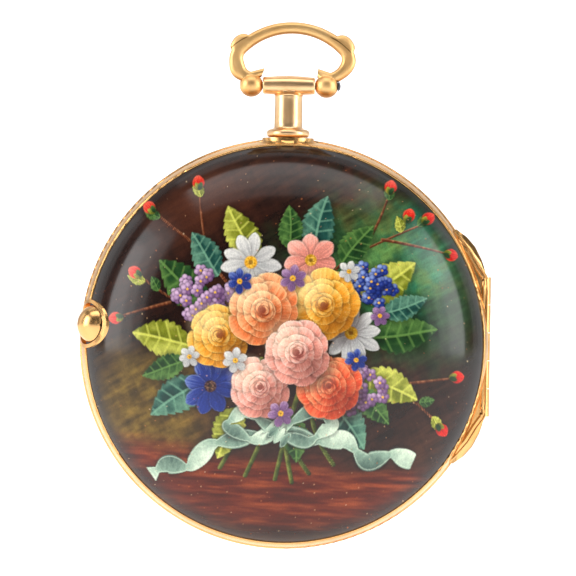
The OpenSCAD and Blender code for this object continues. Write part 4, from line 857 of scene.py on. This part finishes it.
# Small figures as open lines in a box 0.6 wide and 1 high
FIGURES = {
    "0": [arc(0.3, 0.5, 0.27, 0.48, 90, 450, 20)],
    "1": [np.array([(0.12, 0.78), (0.34, 0.98), (0.34, 0.02)])],
    "2": [np.concatenate([arc(0.3, 0.72, 0.25, 0.26, 170, -30, 10), [(0.06, 0.03), (0.56, 0.03)]])],
    "3": [np.concatenate([arc(0.28, 0.74, 0.24, 0.24, 150, -80, 10),
                          arc(0.28, 0.27, 0.27, 0.25, 80, -150, 10)])],
    "4": [np.array([(0.44, 0.02), (0.44, 0.98), (0.04, 0.3), (0.6, 0.3)])],
    "5": [np.concatenate([[(0.52, 0.96), (0.14, 0.96), (0.10, 0.55)],
                          arc(0.28, 0.32, 0.27, 0.30, 120, -145, 12)])],
    "6": [np.concatenate([arc(0.46, 0.5, 0.40, 0.48, 80, 180, 8),
                          arc(0.31, 0.29, 0.25, 0.27, 180, 530, 16)])],
}


def dial_figures():
    """Roman hours, a ring of minutes and small minute figures, each stroke a thin fired raise on
    the domed dial, height f + 0.35 (r / R)^2 with f the dial's front."""
    lines = []

    def place(u, v, r, turn):
        """From a figure's own u, v to the bench: v outwards at radius r, u along the clock."""
        x = (r + v) * np.sin(turn) + u * np.cos(turn)
        y = (r + v) * np.cos(turn) - u * np.sin(turn)
        return np.stack([-x, y], -1)

    for hour in range(1, 13):
        turn = math.radians(30 * hour)
        for (u0, v0), (u1, v1), width in roman(hour, HOUR_HEIGHT):
            t = np.linspace(0, 1, 4)
            lines.append((place(u0 + (u1 - u0) * t, v0 + (v1 - v0) * t, HOUR_R, turn), width))
        number = str(5 * hour)
        for k, c in enumerate(number):
            for line in FIGURES[c]:
                u = (line[:, 0] - 0.3 + 0.78 * (k - (len(number) - 1) / 2)) * MINUTE_FIGURE
                lines.append((place(u, (line[:, 1] - 0.5) * MINUTE_FIGURE, MINUTE_FIGURE_R, turn), 0.15))
    for radius in (RING_R, OUTER_RING_R):
        circle = np.radians(np.linspace(0, 360, 181))
        lines.append((place(0 * circle, 0 * circle, radius, circle), 0.07))
    for minute in range(60):
        turn, v = math.radians(6 * minute), np.linspace(0, OUTER_RING_R - RING_R, 3)
        lines.append((place(0 * v, v, RING_R, turn), 0.20 if minute % 5 == 0 else 0.08))
    points, quads, count = [], [], 0
    for line, width in lines:
        way = np.gradient(line, axis=0)
        way /= np.linalg.norm(way, axis=1)[:, None]
        side = np.stack([-way[:, 1], way[:, 0]], -1) * width / 2
        left, right = line + side, line - side
        ring = []
        for edge, rise in ((left, -0.02), (right, -0.02), (right, FIGURE_RISE), (left, FIGURE_RISE)):
            z = DIAL_FRONT + 0.35 * (np.hypot(*edge.T) / DIAL_R) ** 2 - rise
            ring.append(hang(edge[:, 0], edge[:, 1], z))
        n = len(line)
        solid = np.stack(ring, 1).reshape(-1, 3)
        faces = np.concatenate([grid_faces(n, 4), [[3, 2, 1, 0]],
                                [[4 * n - 4, 4 * n - 3, 4 * n - 2, 4 * n - 1]]])
        a, b, c, d = (solid[faces[:, i]] for i in range(4))
        volume = (a * np.cross(b, c)).sum() + (a * np.cross(c, d)).sum()
        points.append(solid)
        quads.append((faces if volume > 0 else faces[:, ::-1]) + count)
        count += 4 * n
    piece = finish_mesh("dial_figures", np.concatenate(points), np.concatenate(quads), BODY_OF["dial"],
                        DIAL_BLACK)
    piece.data.polygons.foreach_set("use_smooth", np.zeros(len(piece.data.polygons), bool))
    return piece


dial_figures()


# ---- stage, lights and camera ----

def softbox(name, place, aim, size, power, colour=(1, 1, 1)):
    """A rectangular soft light at a place, turned to its aim."""
    lamp = bpy.data.lights.new(name, "AREA")
    lamp.shape = "RECTANGLE"
    lamp.size, lamp.size_y = size
    lamp.energy = power
    lamp.color = colour
    made = bpy.data.objects.new(name, lamp)
    bpy.context.scene.collection.objects.link(made)
    made.location = place
    way = Vector(aim) - Vector(place)
    made.rotation_euler = way.to_track_quat("-Z", "Y").to_euler()
    return made


# How far the softboxes stand from the watch and from each other, in metres
SIDE_REACH = 0.60
TOP_REACH = 0.55
BOX_STEP = 0.01
FLOOR_Z = -0.0720
BACKDROP_Y = 2.0


def paper_sheet(name, size, foot, place, turn, paper):
    """A square sheet of the paper from foot to half its size, for the floor or the backdrop."""
    mesh = bpy.data.meshes.new(name)
    h = size / 2
    mesh.from_pydata([(-h, foot, 0), (h, foot, 0), (h, h, 0), (-h, h, 0)], [], [(0, 1, 2, 3)])
    mesh.materials.append(paper)
    sheet = bpy.data.objects.new(name, mesh)
    bpy.context.scene.collection.objects.link(sheet)
    sheet.location = place
    sheet.rotation_euler = (turn, 0, 0)


def studio_paper():
    """White paper that glows a little behind the watch and fades out in front of it and towards
    the sides, so that the enamel mirrors no bright floor."""
    paper, n, l, shader = new_material("studio_paper")
    white = ramp(n, l, noise(n, l, 0.004, 2), [(0.3, (0.93, 0.93, 0.93)), (0.7, (0.95, 0.95, 0.95))])
    l.new(white, shader.inputs["Base Color"])
    place = n.new("ShaderNodeTexCoord")
    apart = n.new("ShaderNodeSeparateXYZ")
    l.new(place.outputs["Object"], apart.inputs["Vector"])
    behind = spread(n, l, apart.outputs["Y"], 0.0, PAPER_GLOW, -0.25, 0.0)
    middle = spread(n, l, calc(n, l, "ABSOLUTE", apart.outputs["X"]), 1.0, 0.3, 0.3, 1.6)
    glow = ramp(n, l, calc(n, l, "MULTIPLY", behind, middle), [(0.0, (0, 0, 0)), (1.0, (1, 1, 1))])
    l.new(glow, shader.inputs["Emission Color"])
    shader.inputs["Emission Strength"].default_value = 1.0
    shader.inputs["Roughness"].default_value = 0.9
    return paper


def studio():
    """White paper behind and below. At each side and overhead stand three softboxes one in front
    of another, brightest in the middle, so far round that only the turned-away edge of the enamel
    mirrors them. Weaker boxes behind light the dial side, and a fill stands behind the camera."""
    paper = studio_paper()
    paper_sheet("floor", 6.0, -3.0, (0, 0, FLOOR_Z), 0.0, paper)
    paper_sheet("backdrop", 12.0, 1.0, (0, BACKDROP_Y, -1.1), math.pi / 2, paper)
    for side, name in ((-1, "left"), (1, "right")):
        nested = ((0.46, 0.95, 2.3), (0.34, 0.80, 1.35), (0.22, 0.65, 0.7))
        for k, (depth, tall, power) in enumerate(nested):
            y = -0.09 - depth / 2
            softbox(f"{name}_softbox_{k}", (side * (SIDE_REACH + BOX_STEP * k), y, 0.02),
                    (0, y, -0.04), (depth, tall), power)
        softbox(name + "_rim_box", (side * SIDE_REACH, 0.24, 0.0), (0, 0.24, -0.04), (0.34, 0.90), 0.75)
    for k, (depth, power) in enumerate(((0.42, 1.1), (0.30, 0.6), (0.18, 0.3))):
        y = -0.07 - depth / 2
        softbox(f"top_softbox_{k}", (0, y, TOP_REACH + BOX_STEP * k), (0, y, -0.04), (0.8, depth), power)
    softbox("top_rim_box", (0, 0.22, 0.60), (0, 0.22, -0.04), (0.90, 0.30), 0.55)
    softbox("camera_fill", (-0.19, -2.2, 0.48), (0, 0, -0.04), (0.57, 0.57), 0.5)
    world = bpy.data.worlds.new("studio_world")
    world.use_nodes = True
    world.node_tree.nodes["Background"].inputs["Color"].default_value = (0.80, 0.80, 0.82, 1)
    world.node_tree.nodes["Background"].inputs["Strength"].default_value = ROOM_LIGHT
    bpy.context.scene.world = world
    bpy.context.scene.view_settings.view_transform = "Standard"
    bpy.context.scene.view_settings.look = "None"


def camera():
    """A long lens straight in front of the painted back, rolled a little as the watch hangs."""
    lens = bpy.data.cameras.new("camera")
    lens.lens = 475.0
    lens.sensor_width = 36.0
    lens.clip_end = 10
    made = bpy.data.objects.new("camera", lens)
    bpy.context.scene.collection.objects.link(made)
    made.location = (0.000295, -1.0, -0.03345)
    made.rotation_euler = (math.pi / 2, math.radians(-0.9), 0)
    bpy.context.scene.camera = made


studio()
camera()
